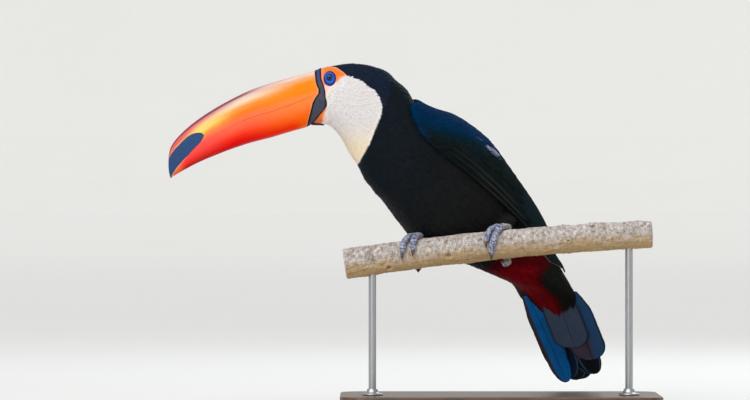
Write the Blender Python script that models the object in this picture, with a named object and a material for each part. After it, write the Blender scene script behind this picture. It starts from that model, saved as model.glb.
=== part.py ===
"""A toco toucan at life size, sitting hunched on a cut length of branch that two rods hold over a flat base.

Blender's Z is up and one unit is a metre, but the sizes below are in millimetres. The origin is the middle of the
base's underside. The bird looks towards -X with its left side towards -Y.

The body is one lofted surface, cut across by thin planes into head, neck, trunk and tail base. Its stations run from
the face to the root of the tail. At each station the section is a superellipse with its own centre, pitch and yaw.
Wings are shells that lie on the same surface. Tail feathers are curved plates in layers.
"""
import math

import bmesh
import bpy
import numpy as np
from mathutils import Vector

MM = 0.001
GAP = 0.4  # between pieces that touch

# Stations of the body: centre x, y, z, pitch and yaw of the section in degrees, half depth, half width.
# Pitch tips the back of the section towards the tail, and yaw turns the tail end away from the viewer's side.
BODY = {
    "face": (-193, -20, 327.8, 9, 0, 29.3, 21),
    "eye": (-177, -20, 328.3, 5, 0, 31.4, 24),
    "crown": (-162, -20, 323.4, 8, 0, 38.9, 26.5),
    "occiput": (-147.2, -20, 314.6, 15, 2, 46.5, 27.5),
    "nape": (-131.7, -19, 303.2, 20, 6, 51.6, 29),
    "throat": (-119.6, -16, 287, 21, 12, 54.6, 33),
    "shoulder": (-101.6, -8.9, 266.6, 24, 18, 49.4, 40),
    "breast": (-77.4, 2.6, 249.4, 27, 22, 58.2, 44),
    "trunk": (-48, 14.4, 223.8, 29, 24, 63, 45),
    "belly": (-18.8, 27.5, 200.3, 30, 27, 52.6, 41),
    "rump": (9.3, 39.7, 175.2, 36, 31, 40.6, 35),
    "vent": (30, 50, 151.5, 46, 40, 28, 31),
    "coverts": (42.5, 57, 134, 53, 50, 17, 34),
    "tail_root": (52.5, 62.5, 117.5, 56, 60, 9.5, 34),
}
SECTION_POWER = 2.2
AROUND = 24
# Where the body is parted, in stations counted from the face.
HEAD_END, NECK_END, TRUNK_END, BODY_END = 3.5, 5.9, 11.0, 13.0
CUT = 0.03  # in stations

# Bill: culmen and lower edge as (x, z), share of the depth at the mouth line, half width.
BILL = [
    (-188.9, 355.8, -198.3, 295.8, 0.45, 20),
    (-208, 350.3, -217, 291.2, 0.50, 19.5),
    (-233, 343.3, -240, 284.4, 0.53, 18.5),
    (-258.2, 335.2, -266.5, 277.4, 0.54, 17),
    (-280, 325.2, -287.5, 270, 0.55, 15),
    (-305, 311, -309, 261.4, 0.56, 12.5),
    (-326, 295.8, -325.5, 253, 0.59, 9.5),
    (-341.5, 280, -337.5, 246.5, 0.66, 6.5),
    (-350, 263, -345.5, 242, 0.80, 3.2),
]
BILL_Y = -20
BILL_POWER = 2.5
MOUTH_GAP = 0.35

EYE_RADIUS = 6.3
EYE_X, EYE_Z = -178.4, 345.8
EYE_DEPTH = 14.6  # from the head's middle plane to the eyeball's centre

# Wings, on the body's surface. Angles are measured from the back's middle line, in degrees.
WING_FROM, WING_TO = 5.7, 11.6
WING_UPPER, WING_LOWER = 2.0, 79.0
WING_THICK, WING_SLANT = 6.0, 1.4
SHOULDER_HIGH, SHOULDER_AHEAD = 2.6, 0.3
BLADE_FROM, BLADE_TO = 7.4, 12.3
BLADE_UPPER, BLADE_LOWER = 24.0, 85.0
BLADE_THICK, BLADE_SLANT = 1.8, 1.2
WING_LIFT = 0.8

# Tail feathers, from the back one to the undermost: length, place aside at the root and at the tip, width.
TAIL = {
    "left_1": (111, 0, -2, 34),
    "right_1": (110, -5, -8, 34),
    "left_2": (106, 6, 11, 34),
    "right_2": (105, -12, -14, 32),
    "right_5": (67, -17, -18, 26),
    "right_4": (89, -18, -19, 26),
    "right_3": (106, -20, -18.5, 22),
    "left_3": (103, 15, 13, 34),
    "left_4": (86, 21, 21.5, 38),
    "left_5": (66, 12, 12, 42),
}
TAIL_CAMBER = 0.0024
FEATHER_THICK = 0.8
FEATHER_LAYER = 1.25
TAIL_ALONG = (0.373, 0.4445, -0.809)
TAIL_ASIDE = (0.904, -0.372, 0.213)

# Perch: a gently bent branch along X.
PERCH_FROM, PERCH_TO = -163, 158
PERCH_Y, PERCH_Z = -34, 172.3
PERCH_SLOPE, PERCH_BEND = 0.0967, -0.000168
PERCH_RADIUS, PERCH_TAPER = 14.7, -0.0055

# Stand
BASE_LENGTH, BASE_DEPTH, BASE_THICK, BASE_CORNER, BASE_BEVEL = 336, 196, 15, 26, 2
ROD_X, ROD_RADIUS, ROD_INTO_BASE, ROD_INTO_PERCH = 134, 4, 8, 7

COLOURS = {
    "black_plumage": ((0.012, 0.013, 0.018), 0.55, 0.0),
    "wing_plumage": ((0.010, 0.016, 0.030), 0.45, 0.0),
    "bib": ((0.80, 0.78, 0.72), 0.8, 0.0),
    "crissum": ((0.35, 0.01, 0.015), 0.7, 0.0),
    "bill": ((0.90, 0.20, 0.03), 0.3, 0.0),
    "eye": ((0.01, 0.008, 0.006), 0.08, 0.0),
    "foot_skin": ((0.30, 0.36, 0.46), 0.6, 0.0),
    "claw": ((0.05, 0.045, 0.05), 0.35, 0.0),
    "bark": ((0.42, 0.34, 0.25), 0.85, 0.0),
    "base_wood": ((0.045, 0.026, 0.016), 0.4, 0.0),
    "rod_steel": ((0.55, 0.55, 0.56), 0.3, 1.0),
}


def clear_scene():
    for old in list(bpy.data.objects):
        bpy.data.objects.remove(old, do_unlink=True)


def finish(name):
    """The material of that name, made once."""
    if name in bpy.data.materials:
        return bpy.data.materials[name]
    colour, rough, metal = COLOURS[name]
    made = bpy.data.materials.new(name)
    made.use_nodes = True
    shader = made.node_tree.nodes["Principled BSDF"]
    shader.inputs["Base Color"].default_value = (*colour, 1)
    shader.inputs["Roughness"].default_value = rough
    shader.inputs["Metallic"].default_value = metal
    return made


def unit(v):
    v = np.asarray(v, float)
    return v / np.linalg.norm(v, axis=-1, keepdims=True)


def curve_through(knots):
    """A function of s, 0 to the number of knots less one, that passes smoothly through the rows of knots."""
    knots = np.asarray(knots, float)
    slopes = np.gradient(knots, axis=0)

    def at(s):
        s = np.clip(np.asarray(s, float), 0, len(knots) - 1)
        i = np.minimum(s.astype(int), len(knots) - 2)
        t = (s - i)[..., None]
        return (
            (2 * t**3 - 3 * t**2 + 1) * knots[i]
            + (t**3 - 2 * t**2 + t) * slopes[i]
            + (3 * t**2 - 2 * t**3) * knots[i + 1]
            + (t**3 - t**2) * slopes[i + 1]
        )

    return at


body_station = curve_through(list(BODY.values()))


def rounded(angle, power):
    """(up, across) of a superellipse of half axes one, at an angle from the top."""
    c, s = np.cos(angle), np.sin(angle)
    return (
        np.sign(c) * np.abs(c) ** (2 / power),
        np.sign(s) * np.abs(s) ** (2 / power),
    )


def body_points(s, degrees, lift=0.0):
    """Points on the body's surface, lifted off it. Positive angles are on the bird's left, the -Y side."""
    s, angle, lift = np.broadcast_arrays(np.asarray(s, float), np.radians(degrees), lift)
    row = body_station(s)
    pitch, yaw = np.radians(row[..., 3]), np.radians(row[..., 4])
    up = np.stack([np.sin(pitch) * np.cos(yaw), np.sin(pitch) * np.sin(yaw), np.cos(pitch)], -1)
    left = np.stack([np.sin(yaw), -np.cos(yaw), np.zeros_like(yaw)], -1)
    high, wide = rounded(angle, SECTION_POWER)
    return (
        row[..., :3]
        + ((row[..., 5] + lift) * high)[..., None] * up
        + ((row[..., 6] + lift) * wide)[..., None] * left
    )


def solid_from_rings(name, rings, material):
    """A closed solid: faces between neighbouring rings of points, and a face over each end."""
    rings = np.asarray(rings, float)
    count, around = rings.shape[:2]
    build = bmesh.new()
    rows = [[build.verts.new(Vector(p) * MM) for p in ring] for ring in rings]
    for first, second in zip(rows, rows[1:]):
        for k in range(around):
            n = (k + 1) % around
            build.faces.new((first[k], first[n], second[n], second[k]))
    build.faces.new(rows[0])
    build.faces.new(rows[-1])
    bmesh.ops.recalc_face_normals(build, faces=build.faces)
    return object_of(name, build, material)


def object_of(name, build, material):
    mesh = bpy.data.meshes.new(name)
    build.to_mesh(mesh)
    build.free()
    mesh.materials.append(finish(material))
    mesh.shade_smooth()
    mesh.set_sharp_from_angle(angle=math.radians(40))
    made = bpy.data.objects.new(name, mesh)
    bpy.context.scene.collection.objects.link(made)
    return made


def tube(path, radii, sides, start=(0, 0, 1)):
    """Rings of points round a path, with one radius for each point. A pair of radii is (in the frame's up, across)."""
    path = np.asarray(path, float)
    ahead = unit(np.gradient(path, axis=0))
    across = unit(np.cross(ahead, np.asarray(start, float)))
    up = np.cross(across, ahead)
    radii = np.asarray(radii, float)
    if radii.ndim == 1:
        radii = np.stack([radii, radii], -1)
    turn = np.linspace(0, 2 * math.pi, sides, endpoint=False)
    return (
        path[:, None]
        + (radii[:, :1] * np.cos(turn))[..., None] * up[:, None]
        + (radii[:, 1:] * np.sin(turn))[..., None] * across[:, None]
    )


def as_cutter(source, grow=GAP):
    """A hidden copy of a solid, grown along its normals, that cuts room for it out of its neighbours."""
    mesh = source.data.copy()
    build = bmesh.new()
    build.from_mesh(mesh)
    build.normal_update()
    moves = [v.normal * v.calc_shell_factor() * grow * MM for v in build.verts]
    for v, move in zip(build.verts, moves):
        v.co += move
    build.to_mesh(mesh)
    build.free()
    cutter = bpy.data.objects.new("cut_" + source.name, mesh)
    bpy.context.scene.collection.objects.link(cutter)
    cutter.hide_render = True
    cutter.display_type = "WIRE"
    return cutter


def boolean(target, other, operation="DIFFERENCE"):
    step = target.modifiers.new(other.name, "BOOLEAN")
    step.operation = operation
    step.object = other
    other.hide_render = True
    other.display_type = "WIRE"


def body_length(name, first, last, rings, material):
    s = np.linspace(first, last, rings)[:, None]
    turn = np.linspace(0, 360, AROUND, endpoint=False)[None, :]
    return solid_from_rings(name, body_points(s, turn), material)


def make_body():
    head = body_length("head", 0, HEAD_END - CUT, 10, "bib")
    neck = body_length("neck", HEAD_END, NECK_END - CUT, 7, "black_plumage")
    trunk = body_length("trunk", NECK_END, TRUNK_END - CUT, 13, "black_plumage")
    tail_base = body_length("tail_base", TRUNK_END, BODY_END, 6, "crissum")
    return head, neck, trunk, tail_base


def make_bill():
    """Both halves share one superellipse section, which the mouth line parts."""
    rows = curve_through(BILL)(np.linspace(0, len(BILL) - 1, 14))
    top = np.stack([rows[:, 0], np.full(len(rows), BILL_Y), rows[:, 1]], -1)
    low = np.stack([rows[:, 2], np.full(len(rows), BILL_Y), rows[:, 3]], -1)
    middle, up = (top + low) / 2, unit(top - low)
    half = np.linalg.norm(top - low, axis=-1) / 2
    mouth = 1 - 2 * rows[:, 4]  # in half depths above the middle
    for name, sign in (("bill_upper", 1), ("bill_lower", -1)):
        edge = np.arccos(np.clip(np.sign(mouth) * np.abs(mouth) ** (BILL_POWER / 2), -1, 1))
        if sign < 0:
            edge = math.pi - edge
        share = np.linspace(-1, 1, 13)
        high, wide = rounded(edge[:, None] * share, BILL_POWER)
        height = sign * high * half[:, None]
        limit = (mouth * half)[:, None] + sign * MOUTH_GAP / 2
        height = np.maximum(height, limit) if sign > 0 else np.minimum(height, limit)
        rings = (
            middle[:, None]
            + height[..., None] * up[:, None]
            + (wide * rows[:, 5:6])[..., None] * np.array([0, 1, 0])
        )
        rings[0] += np.array([-GAP, 0, 0])
        solid_from_rings(name, rings, "bill")


def make_eyes(head):
    for side, sign in (("left", -1), ("right", 1)):
        build = bmesh.new()
        bmesh.ops.create_uvsphere(build, u_segments=12, v_segments=8, radius=EYE_RADIUS * MM)
        centre = Vector((EYE_X, BILL_Y + sign * EYE_DEPTH, EYE_Z)) * MM
        bmesh.ops.translate(build, verts=build.verts, vec=centre)
        boolean(head, as_cutter(object_of("eye_" + side, build, "eye")))


def wing_rings(sign, span, edges, thick, lift, count, slant, shoulder=(0, 0)):
    """Rings of a shell on the body. Each ring crosses the wing: along its outer face, then back along its inner one.
    The front edge slants back towards the belly, the rear narrows to a tip, and the lower edge is thin. A shoulder
    stands this high near the front and this far ahead of it."""
    w = np.linspace(0, 1, count)[:, None] ** 1.25
    v = np.linspace(0, 1, 7)[None, :]
    full = np.sqrt(1 - np.clip(1 - w / 0.245, 0, 1) ** 2)
    narrow = 1 - 0.86 * np.clip((w - 0.6) / 0.4, 0, 1) ** 2
    upper, lower = edges
    angle = upper + (lower - upper) * narrow * v
    high, ahead = shoulder
    front = span[0] + slant * v**7 - ahead * np.exp(-(((v - 0.6) / 0.2) ** 2))
    s = front + (span[1] - front) * w
    bulge = (thick - 0.8) * (0.17 + 0.83 * full) * (1 - 0.8 * w) + high * np.exp(-(((w - 0.076) / 0.061) ** 2))
    height = lift(w) + 0.8 + (1 - v**3) * bulge
    outer = body_points(s, sign * angle, height)
    inner = body_points(s, sign * angle, lift(w) + 0 * v)
    return np.concatenate([outer, inner[:, ::-1]], 1)


def make_wings():
    """The covert shell lies over the blade of flight feathers, which shows below it and behind it."""
    def shell_lift(w):
        return WING_LIFT + 0.8 + BLADE_THICK * np.clip(w / 0.1, 0, 1) + w

    def blade_lift(w):
        return WING_LIFT + w

    for side, sign in (("left", 1), ("right", -1)):
        span, edges = (WING_FROM, WING_TO), (WING_UPPER, WING_LOWER)
        shoulder = SHOULDER_HIGH, SHOULDER_AHEAD
        shell = wing_rings(sign, span, edges, WING_THICK, shell_lift, 16, WING_SLANT, shoulder)
        solid_from_rings("wing_" + side, shell, "wing_plumage")
        span, edges = (BLADE_FROM, BLADE_TO), (BLADE_UPPER, BLADE_LOWER)
        blade = wing_rings(sign, span, edges, BLADE_THICK, blade_lift, 11, BLADE_SLANT)
        solid_from_rings("flight_feathers_" + side, blade, "wing_plumage")


def make_tail():
    """Each feather is a plate on one cambered surface, in a layer of its own. All start just off the tail base."""
    along, left = unit(TAIL_ALONG), unit(TAIL_ASIDE)
    back = np.cross(left, along)
    end = body_station(BODY_END)
    root, pitch, yaw = end[:3], math.radians(end[3]), math.radians(end[4])
    out_of_end = np.array([math.cos(pitch) * math.cos(yaw), math.cos(pitch) * math.sin(yaw), -math.sin(pitch)])
    for number, (name, (length, root_aside, tip_aside, width)) in enumerate(TAIL.items()):
        layer = (4.5 - number) * FEATHER_LAYER
        u = np.linspace(0, 1, 8)[:, None] ** 0.8
        v = np.linspace(-1, 1, 5)[None, :]
        tip = np.clip((u - 0.76) / 0.24, 0, 1)
        half = width / 2 * (0.78 + 0.22 * np.clip(u / 0.4, 0, 1)) * np.sqrt(1 - 0.96 * tip**2.2)
        aside = root_aside + (tip_aside - root_aside) * u + half * v
        lean = aside[:1] * (left @ out_of_end) + (layer - TAIL_CAMBER * aside[:1] ** 2) * (back @ out_of_end)
        start = (GAP - lean) / (along @ out_of_end)
        down = start + (length - start) * u
        faces = []
        for edge in (0, FEATHER_THICK):
            out = layer - edge - TAIL_CAMBER * aside**2 - 0.0003 * down**2
            faces.append(root + down[..., None] * along + aside[..., None] * left + out[..., None] * back)
        rings = np.concatenate([faces[0], faces[1][:, ::-1]], 1)
        solid_from_rings("tail_feather_" + name, rings, "black_plumage")


def perch_centre(x):
    x = np.asarray(x, float)
    return np.stack([x, np.full_like(x, PERCH_Y), PERCH_Z + PERCH_SLOPE * x + PERCH_BEND * x**2], -1)


def perch_radius(x):
    """The branch thins towards the right and swells a little at its old twig scars."""
    swell = 0.5 * np.exp(-(((x + 40) / 14) ** 2)) + 0.4 * np.exp(-(((x - 96) / 11) ** 2))
    return PERCH_RADIUS + PERCH_TAPER * x + swell


def make_perch():
    x = np.linspace(PERCH_FROM, PERCH_TO, 12)
    return solid_from_rings("perch", tube(perch_centre(x), perch_radius(x), 16), "bark")


def toe_path(x0, x1, turn0, turn1, radius, count=8, arch=0.0):
    """Points round the branch at a toe's radius off the bark. Turns are degrees from the top towards the front."""
    t = np.linspace(0, 1, count)
    x = x0 + (x1 - x0) * np.sin(t * math.pi / 2)
    turn = np.radians(turn0 + (turn1 - turn0) * t)
    off = perch_radius(x) + radius + GAP + 0.25 + arch * np.sin(t * math.pi)
    centre = perch_centre(x)
    return centre + np.stack([0 * x, -np.sin(turn) * off, np.cos(turn) * off], -1)


# Toes: where each starts and ends along the branch, and how far it turns round it; positive turns go over the front.
FEET = {
    "left": {
        "pad": (6, -40),
        "toes": [(5, -15.5, -30, 74), (10, -10, -36, 119), (11, 9, -50, -168), (6, -4, -52, -128)],
    },
    "right": {
        "pad": (-85, -38),
        "toes": [(-88, -103, -26, 80), (-83, -92, -30, 74), (-80, -86, -48, -150), (-84, -97, -48, -124)],
    },
}
THIGHS = {
    "left": ((-6, 12, 205), (9, -10, 190)),
    "right": ((-64, 10, 194), (-82, -10, 178)),
}
TOE_RADIUS, TOE_TIP_RADIUS = 3.2, 2.5
TARSUS_RADIUS = 3.6
CLAW_LENGTH, CLAW_RADIUS = 11, 1.8


def make_foot(side, plan):
    """A tarsus, a pad and four toes, joined into one piece of flesh, and four claws apart from it."""
    pad_x, pad_turn = plan["pad"]
    pad = toe_path(pad_x, pad_x, pad_turn, pad_turn, TOE_RADIUS, 2)[0]
    heel = pad + np.array([3, 15, 4])
    path = pad + np.outer(np.linspace(-0.08, 1, 6), heel - pad)
    shank = tube(path, np.linspace(3.3, TARSUS_RADIUS, 6), 10)
    foot = solid_from_rings("foot_" + side, shank, "foot_skin")
    for number, (x0, x1, turn0, turn1) in enumerate(plan["toes"], 1):
        spread = np.linspace(TOE_RADIUS, TOE_TIP_RADIUS, 8)
        path = toe_path(x0, x1, turn0, turn1, spread)
        toe = solid_from_rings(f"toe_{side}_{number}", tube(path, spread, 8, (1, 0, 0)), "foot_skin")
        boolean(foot, toe, "UNION")
        make_claw(f"claw_{side}_{number}", path)
    return foot


def make_claw(name, toe):
    """A hook that carries on from the toe's end, curving in beside the bark."""
    ahead = unit(toe[-1] - toe[-2])
    inward = unit(np.cross(np.cross(ahead, toe[-2] - toe[-3]), ahead) + 1e-9)
    inward = -inward if inward @ (perch_centre(toe[-1][0]) - toe[-1]) < 0 else inward
    t = np.linspace(0, 1, 5)
    bend = 0.30 * CLAW_LENGTH * t**2
    start = toe[-1] + ahead * GAP
    path = start + np.outer(CLAW_LENGTH * t * (1 - 0.15 * t), ahead) + np.outer(bend - 0.5 * t, inward)
    radii = CLAW_RADIUS * (1 - 0.86 * t**1.2)
    solid_from_rings(name, tube(path, radii, 6, (1, 0, 0)), "claw")


def make_thigh(side):
    """The feathered thigh, a tapered lump from inside the flank down to the ankle."""
    top, ankle = (np.array(end, float) for end in THIGHS[side])
    t = np.linspace(0, 1, 9)
    path = top + np.outer(t, ankle - top)
    radii = 4.5 + 9 * np.sin(math.pi * (0.16 + 0.84 * (1 - t) ** 0.8)) ** 0.8
    return solid_from_rings("thigh_" + side, tube(path, radii, 12), "black_plumage")


def make_stand(perch):
    build = bmesh.new()
    half_x, half_y = BASE_LENGTH / 2 - BASE_CORNER, BASE_DEPTH / 2 - BASE_CORNER
    corners = []
    for quarter, (cx, cy) in enumerate(((half_x, half_y), (-half_x, half_y), (-half_x, -half_y), (half_x, -half_y))):
        for a in np.radians(np.linspace(0, 90, 7) + 90 * quarter):
            corners.append((cx + BASE_CORNER * math.cos(a), cy + BASE_CORNER * math.sin(a)))
    under = build.faces.new([build.verts.new(Vector((x, y, 0)) * MM) for x, y in reversed(corners)])
    walls = bmesh.ops.extrude_face_region(build, geom=[under])
    top = [v for v in walls["geom"] if isinstance(v, bmesh.types.BMVert)]
    bmesh.ops.translate(build, verts=top, vec=Vector((0, 0, BASE_THICK)) * MM)
    bmesh.ops.recalc_face_normals(build, faces=build.faces)
    rim = [e for e in build.edges if all(v.co.z > 0.5 * BASE_THICK * MM for v in e.verts)]
    bmesh.ops.bevel(build, geom=rim, offset=BASE_BEVEL * MM, segments=2, affect="EDGES", profile=0.5)
    base = object_of("stand_base", build, "base_wood")
    for side, x in (("left", -ROD_X), ("right", ROD_X)):
        foot = BASE_THICK - ROD_INTO_BASE
        head = float(perch_centre(x)[2] - perch_radius(x)) + ROD_INTO_PERCH
        path = np.array([(x, PERCH_Y, z) for z in np.linspace(foot + GAP, head - GAP, 3)])
        rod = solid_from_rings("stand_rod_" + side, tube(path, [ROD_RADIUS] * 3, 16, (1, 0, 0)), "rod_steel")
        cutter = as_cutter(rod)
        boolean(base, cutter)
        boolean(perch, cutter)


def main():
    clear_scene()
    head, neck, trunk, tail_base = make_body()
    make_bill()
    make_eyes(head)
    make_wings()
    make_tail()
    perch = make_perch()
    boolean(trunk, as_cutter(perch, 0.5))
    for side, plan in FEET.items():
        foot, thigh = make_foot(side, plan), make_thigh(side)
        room = as_cutter(foot)  # the shank alone, before the toes join it
        boolean(thigh, room)
        boolean(thigh, as_cutter(bpy.data.objects["flight_feathers_" + side]))
        boolean(trunk, room)
        boolean(trunk, as_cutter(thigh))
    make_stand(perch)


main()
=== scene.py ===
# Looks for the still model of a toco toucan on a short perch. Sizes are in millimetres until a mesh is made.
import math

import bpy
import numpy as np
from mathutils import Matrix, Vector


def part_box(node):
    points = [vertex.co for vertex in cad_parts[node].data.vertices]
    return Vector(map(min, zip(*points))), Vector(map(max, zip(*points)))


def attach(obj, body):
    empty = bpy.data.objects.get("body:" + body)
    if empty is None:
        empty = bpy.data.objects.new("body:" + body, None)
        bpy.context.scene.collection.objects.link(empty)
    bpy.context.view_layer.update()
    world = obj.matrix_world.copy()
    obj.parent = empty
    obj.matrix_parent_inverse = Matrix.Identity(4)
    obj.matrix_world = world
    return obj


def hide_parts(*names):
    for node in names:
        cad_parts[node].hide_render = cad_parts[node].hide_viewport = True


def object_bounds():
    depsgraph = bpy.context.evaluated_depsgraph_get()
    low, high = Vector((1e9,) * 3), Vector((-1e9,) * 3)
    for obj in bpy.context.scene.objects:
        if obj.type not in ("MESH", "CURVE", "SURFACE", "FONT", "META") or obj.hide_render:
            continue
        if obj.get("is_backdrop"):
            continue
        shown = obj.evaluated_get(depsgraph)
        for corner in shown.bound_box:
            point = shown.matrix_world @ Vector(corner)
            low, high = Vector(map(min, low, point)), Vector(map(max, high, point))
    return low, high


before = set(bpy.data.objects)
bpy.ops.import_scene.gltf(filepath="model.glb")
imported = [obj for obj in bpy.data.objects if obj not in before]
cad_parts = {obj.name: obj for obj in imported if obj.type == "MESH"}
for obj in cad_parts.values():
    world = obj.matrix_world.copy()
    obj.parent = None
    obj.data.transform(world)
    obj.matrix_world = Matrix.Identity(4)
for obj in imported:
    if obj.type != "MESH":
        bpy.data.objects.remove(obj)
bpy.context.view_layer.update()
mm = 0.001


def report(stage):
    print("scene:", stage)


report("frame loaded, %d nodes" % len(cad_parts))


def unit(v):  # of length one
    v = np.asarray(v, float)
    return v / np.maximum(np.linalg.norm(v, axis=-1, keepdims=True), 1e-12)


def smooth(low, high, x):  # 0 before low, 1 past high, a cubic between
    t = np.clip((np.asarray(x, float) - low) / (high - low), 0, 1)
    return t * t * (3 - 2 * t)


def bell(x, width):  # exp of minus the square of x over width
    return np.exp(-((x / width) ** 2))


def turns(count):  # evenly spaced angles once round
    return np.linspace(0, 2 * math.pi, count, endpoint=False)


def curveThrough(knots):
    # cubic Hermite through evenly spaced knots, with slopes from the knots on either side
    knots = np.asarray(knots, float)
    slopes = np.gradient(knots, axis=0)

    def at(s):
        s = np.clip(np.asarray(s, float), 0, len(knots) - 1)
        i = np.minimum(s.astype(int), len(knots) - 2)
        t = (s - i)[..., None]
        return (
            (2 * t**3 - 3 * t**2 + 1) * knots[i]
            + (t**3 - 2 * t**2 + t) * slopes[i]
            + (3 * t**2 - 2 * t**3) * knots[i + 1]
            + (t**3 - t**2) * slopes[i + 1]
        )

    return at


def rounded(angle, power):
    # up and across on a superellipse of half axes one: sign(cos)|cos|^(2/power) and the same of the sine
    c, s = np.cos(angle), np.sin(angle)
    return np.sign(c) * np.abs(c) ** (2 / power), np.sign(s) * np.abs(s) ** (2 / power)


def cellValue(i, j, k, seed):  # a repeatable number in 0..1 for a whole grid place
    n = (i * 73856093) ^ (j * 19349663) ^ (k * 83492791) ^ (seed * 2654435761)
    n = ((n ^ (n >> 13)) * 1274126177) & 0xFFFFFFFF
    return ((n ^ (n >> 16)) & 0xFFFF) / 65535


def roughness(points, size, seed):
    # value noise in -1..1: the random numbers at the eight corners of a cell, blended by cubic weights
    p = np.asarray(points, float) / size
    base = np.floor(p).astype(np.int64)
    f = p - base
    f = f * f * (3 - 2 * f)
    total = 0
    for corner in range(8):
        step = (corner & 1, corner >> 1 & 1, corner >> 2)
        shares = [f[..., n] if step[n] else 1 - f[..., n] for n in range(3)]
        place = [base[..., n] + step[n] for n in range(3)]
        total = total + shares[0] * shares[1] * shares[2] * cellValue(*place, seed)
    return 2 * total - 1


def signedDistance(x, y, corners):
    # distance to a closed outline, positive inside: nearest point of each side, and how many are crossed
    nearest = np.full(np.shape(x), 1e9)
    inside = np.zeros(np.shape(x), bool)
    for (x0, y0), (x1, y1) in zip(corners, np.roll(corners, -1, axis=0)):
        dx, dy = x1 - x0, y1 - y0
        t = np.clip(((x - x0) * dx + (y - y0) * dy) / (dx * dx + dy * dy + 1e-12), 0, 1)
        nearest = np.minimum(nearest, np.hypot(x - x0 - t * dx, y - y0 - t * dy))
        if dy:
            inside ^= ((y0 > y) != (y1 > y)) & (x < x0 + (y - y0) * dx / dy)
    return np.where(inside, nearest, -nearest)


def gridFaces(rows, columns, rounds=False, torus=False):
    # quads between neighbouring rows of a grid; rounds joins the last column to the first, torus also rows
    i = np.arange(rows if torus else rows - 1)[:, None]
    j = np.arange(columns if rounds or torus else columns - 1)[None, :]
    n, k = (i + 1) % rows, (j + 1) % columns
    return np.stack([i * columns + j, i * columns + k, n * columns + k, n * columns + j], -1).reshape(-1, 4)


def outward(points, faces):
    # turns all faces of a closed shape round if its volume, a sum of corner products, comes out negative
    volume = 0
    for block in faces:
        for n in range(1, block.shape[1] - 1):
            a, b, c = points[block[:, 0]], points[block[:, n]], points[block[:, n + 1]]
            volume += np.einsum("ij,ij->i", a, np.cross(b, c)).sum()
    return [block[:, ::-1] for block in faces] if volume < 0 else faces


def closedTube(rings):
    # rings of points joined in turn, with a pole at the middle of each end
    rows, around = rings.shape[:2]
    points = np.concatenate([rings.reshape(-1, 3), [rings[0].mean(0)], [rings[-1].mean(0)]])
    j = np.arange(around)
    k = (j + 1) % around
    last, pole = (rows - 1) * around, np.full(around, rows * around)
    faces = [
        gridFaces(rows, around, True),
        np.stack([k, j, pole], -1),
        np.stack([last + j, last + k, pole + 1], -1),
    ]
    return points, outward(points, faces)


def withPoles(values):  # a grid of values, with the two poles' values after it
    return np.concatenate([values.ravel(), [values[0].mean()], [values[-1].mean()]])


def onRings(rings, **grids):
    # each grid of values spread over the rings' points and their poles
    return {key: withPoles(np.broadcast_to(grid, rings.shape[:2])) for key, grid in grids.items()}


def sweep(path, around, high, wide=None, start=(0, 0, 1)):
    # rings round a path: centre + high cos(turn) up + wide sin(turn) across, with wide as high unless given
    path = np.asarray(path, float)
    ahead = unit(np.gradient(path, axis=0))
    across = unit(np.cross(ahead, np.asarray(start, float)))
    up = np.cross(across, ahead)
    high = np.asarray(high, float).reshape(len(path), -1)
    wide = high if wide is None else wide.reshape(len(path), -1)
    turn = turns(around)
    return (
        path[:, None]
        + (high * np.cos(turn))[..., None] * up[:, None]
        + (wide * np.sin(turn))[..., None] * across[:, None]
    )


def joined(shapes):
    # (points, faces) pairs put together into one pair
    points, faces, first = [], [], 0
    for own, blocks in shapes:
        points.append(own)
        faces += [block + first for block in blocks]
        first += len(own)
    return np.concatenate(points), faces


def link(name, data):
    made = bpy.data.objects.new(name, data)
    bpy.context.scene.collection.objects.link(made)
    return made


def pieceOf(name, shape, paint, replaces=(), values=None, uv=None):
    # one visible mesh of points and faces, with a number per point under each name in values
    points, faces = shape
    faces = faces if isinstance(faces, list) else [faces]
    sizes = np.concatenate([np.full(len(block), block.shape[1]) for block in faces])
    corners = np.concatenate([block.ravel() for block in faces]).astype(np.int32)
    mesh = bpy.data.meshes.new(name)
    mesh.vertices.add(len(points))
    mesh.vertices.foreach_set("co", (np.asarray(points, float) * mm).astype(np.float32).ravel())
    mesh.loops.add(len(corners))
    mesh.loops.foreach_set("vertex_index", corners)
    mesh.polygons.add(len(sizes))
    mesh.polygons.foreach_set("loop_start", np.concatenate([[0], np.cumsum(sizes)[:-1]]).astype(np.int32))
    mesh.polygons.foreach_set("use_smooth", np.ones(len(sizes), bool))
    mesh.update(calc_edges=True)
    for key, value in (values or {}).items():
        layer = mesh.attributes.new(key, "FLOAT", "POINT")
        layer.data.foreach_set("value", np.asarray(value, np.float32).ravel())
    if uv is not None:
        layer = mesh.uv_layers.new(name="OFBake")
        layer.data.foreach_set("uv", np.asarray(uv, np.float32)[corners].ravel())
    mesh.materials.append(paint)
    made = link(name, mesh)
    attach(made, "root")
    if replaces:
        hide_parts(*replaces)
    return made


def thicken(piece, thick):
    step = piece.modifiers.new("thick", "SOLIDIFY")
    step.thickness, step.offset = thick * mm, -1.0


def tint(red, green, blue):  # the shader's colour for a colour given in 0..255 as a screen shows it
    share = np.array([red, green, blue]) / 255
    linear = np.where(share <= 0.04045, share / 12.92, ((share + 0.055) / 1.055) ** 2.4)
    return (*(float(c) for c in linear), 1.0)


class Wire:
    # a socket of a material; sums and products on it add Math nodes
    def __init__(self, paint, socket):
        self.paint, self.socket = paint, socket

    def math(self, operation, *values):
        return self.paint.node("ShaderNodeMath", {"operation": operation}, values)

    def __abs__(self):
        return self.math("ABSOLUTE", self)

    def between(self, low, high):  # 0 before low, 1 past high, a cubic between
        settings = {"interpolation_type": "SMOOTHSTEP"}
        inputs = {"Value": self, "From Min": low, "From Max": high}
        return self.paint.node("ShaderNodeMapRange", settings, inputs)


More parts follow.
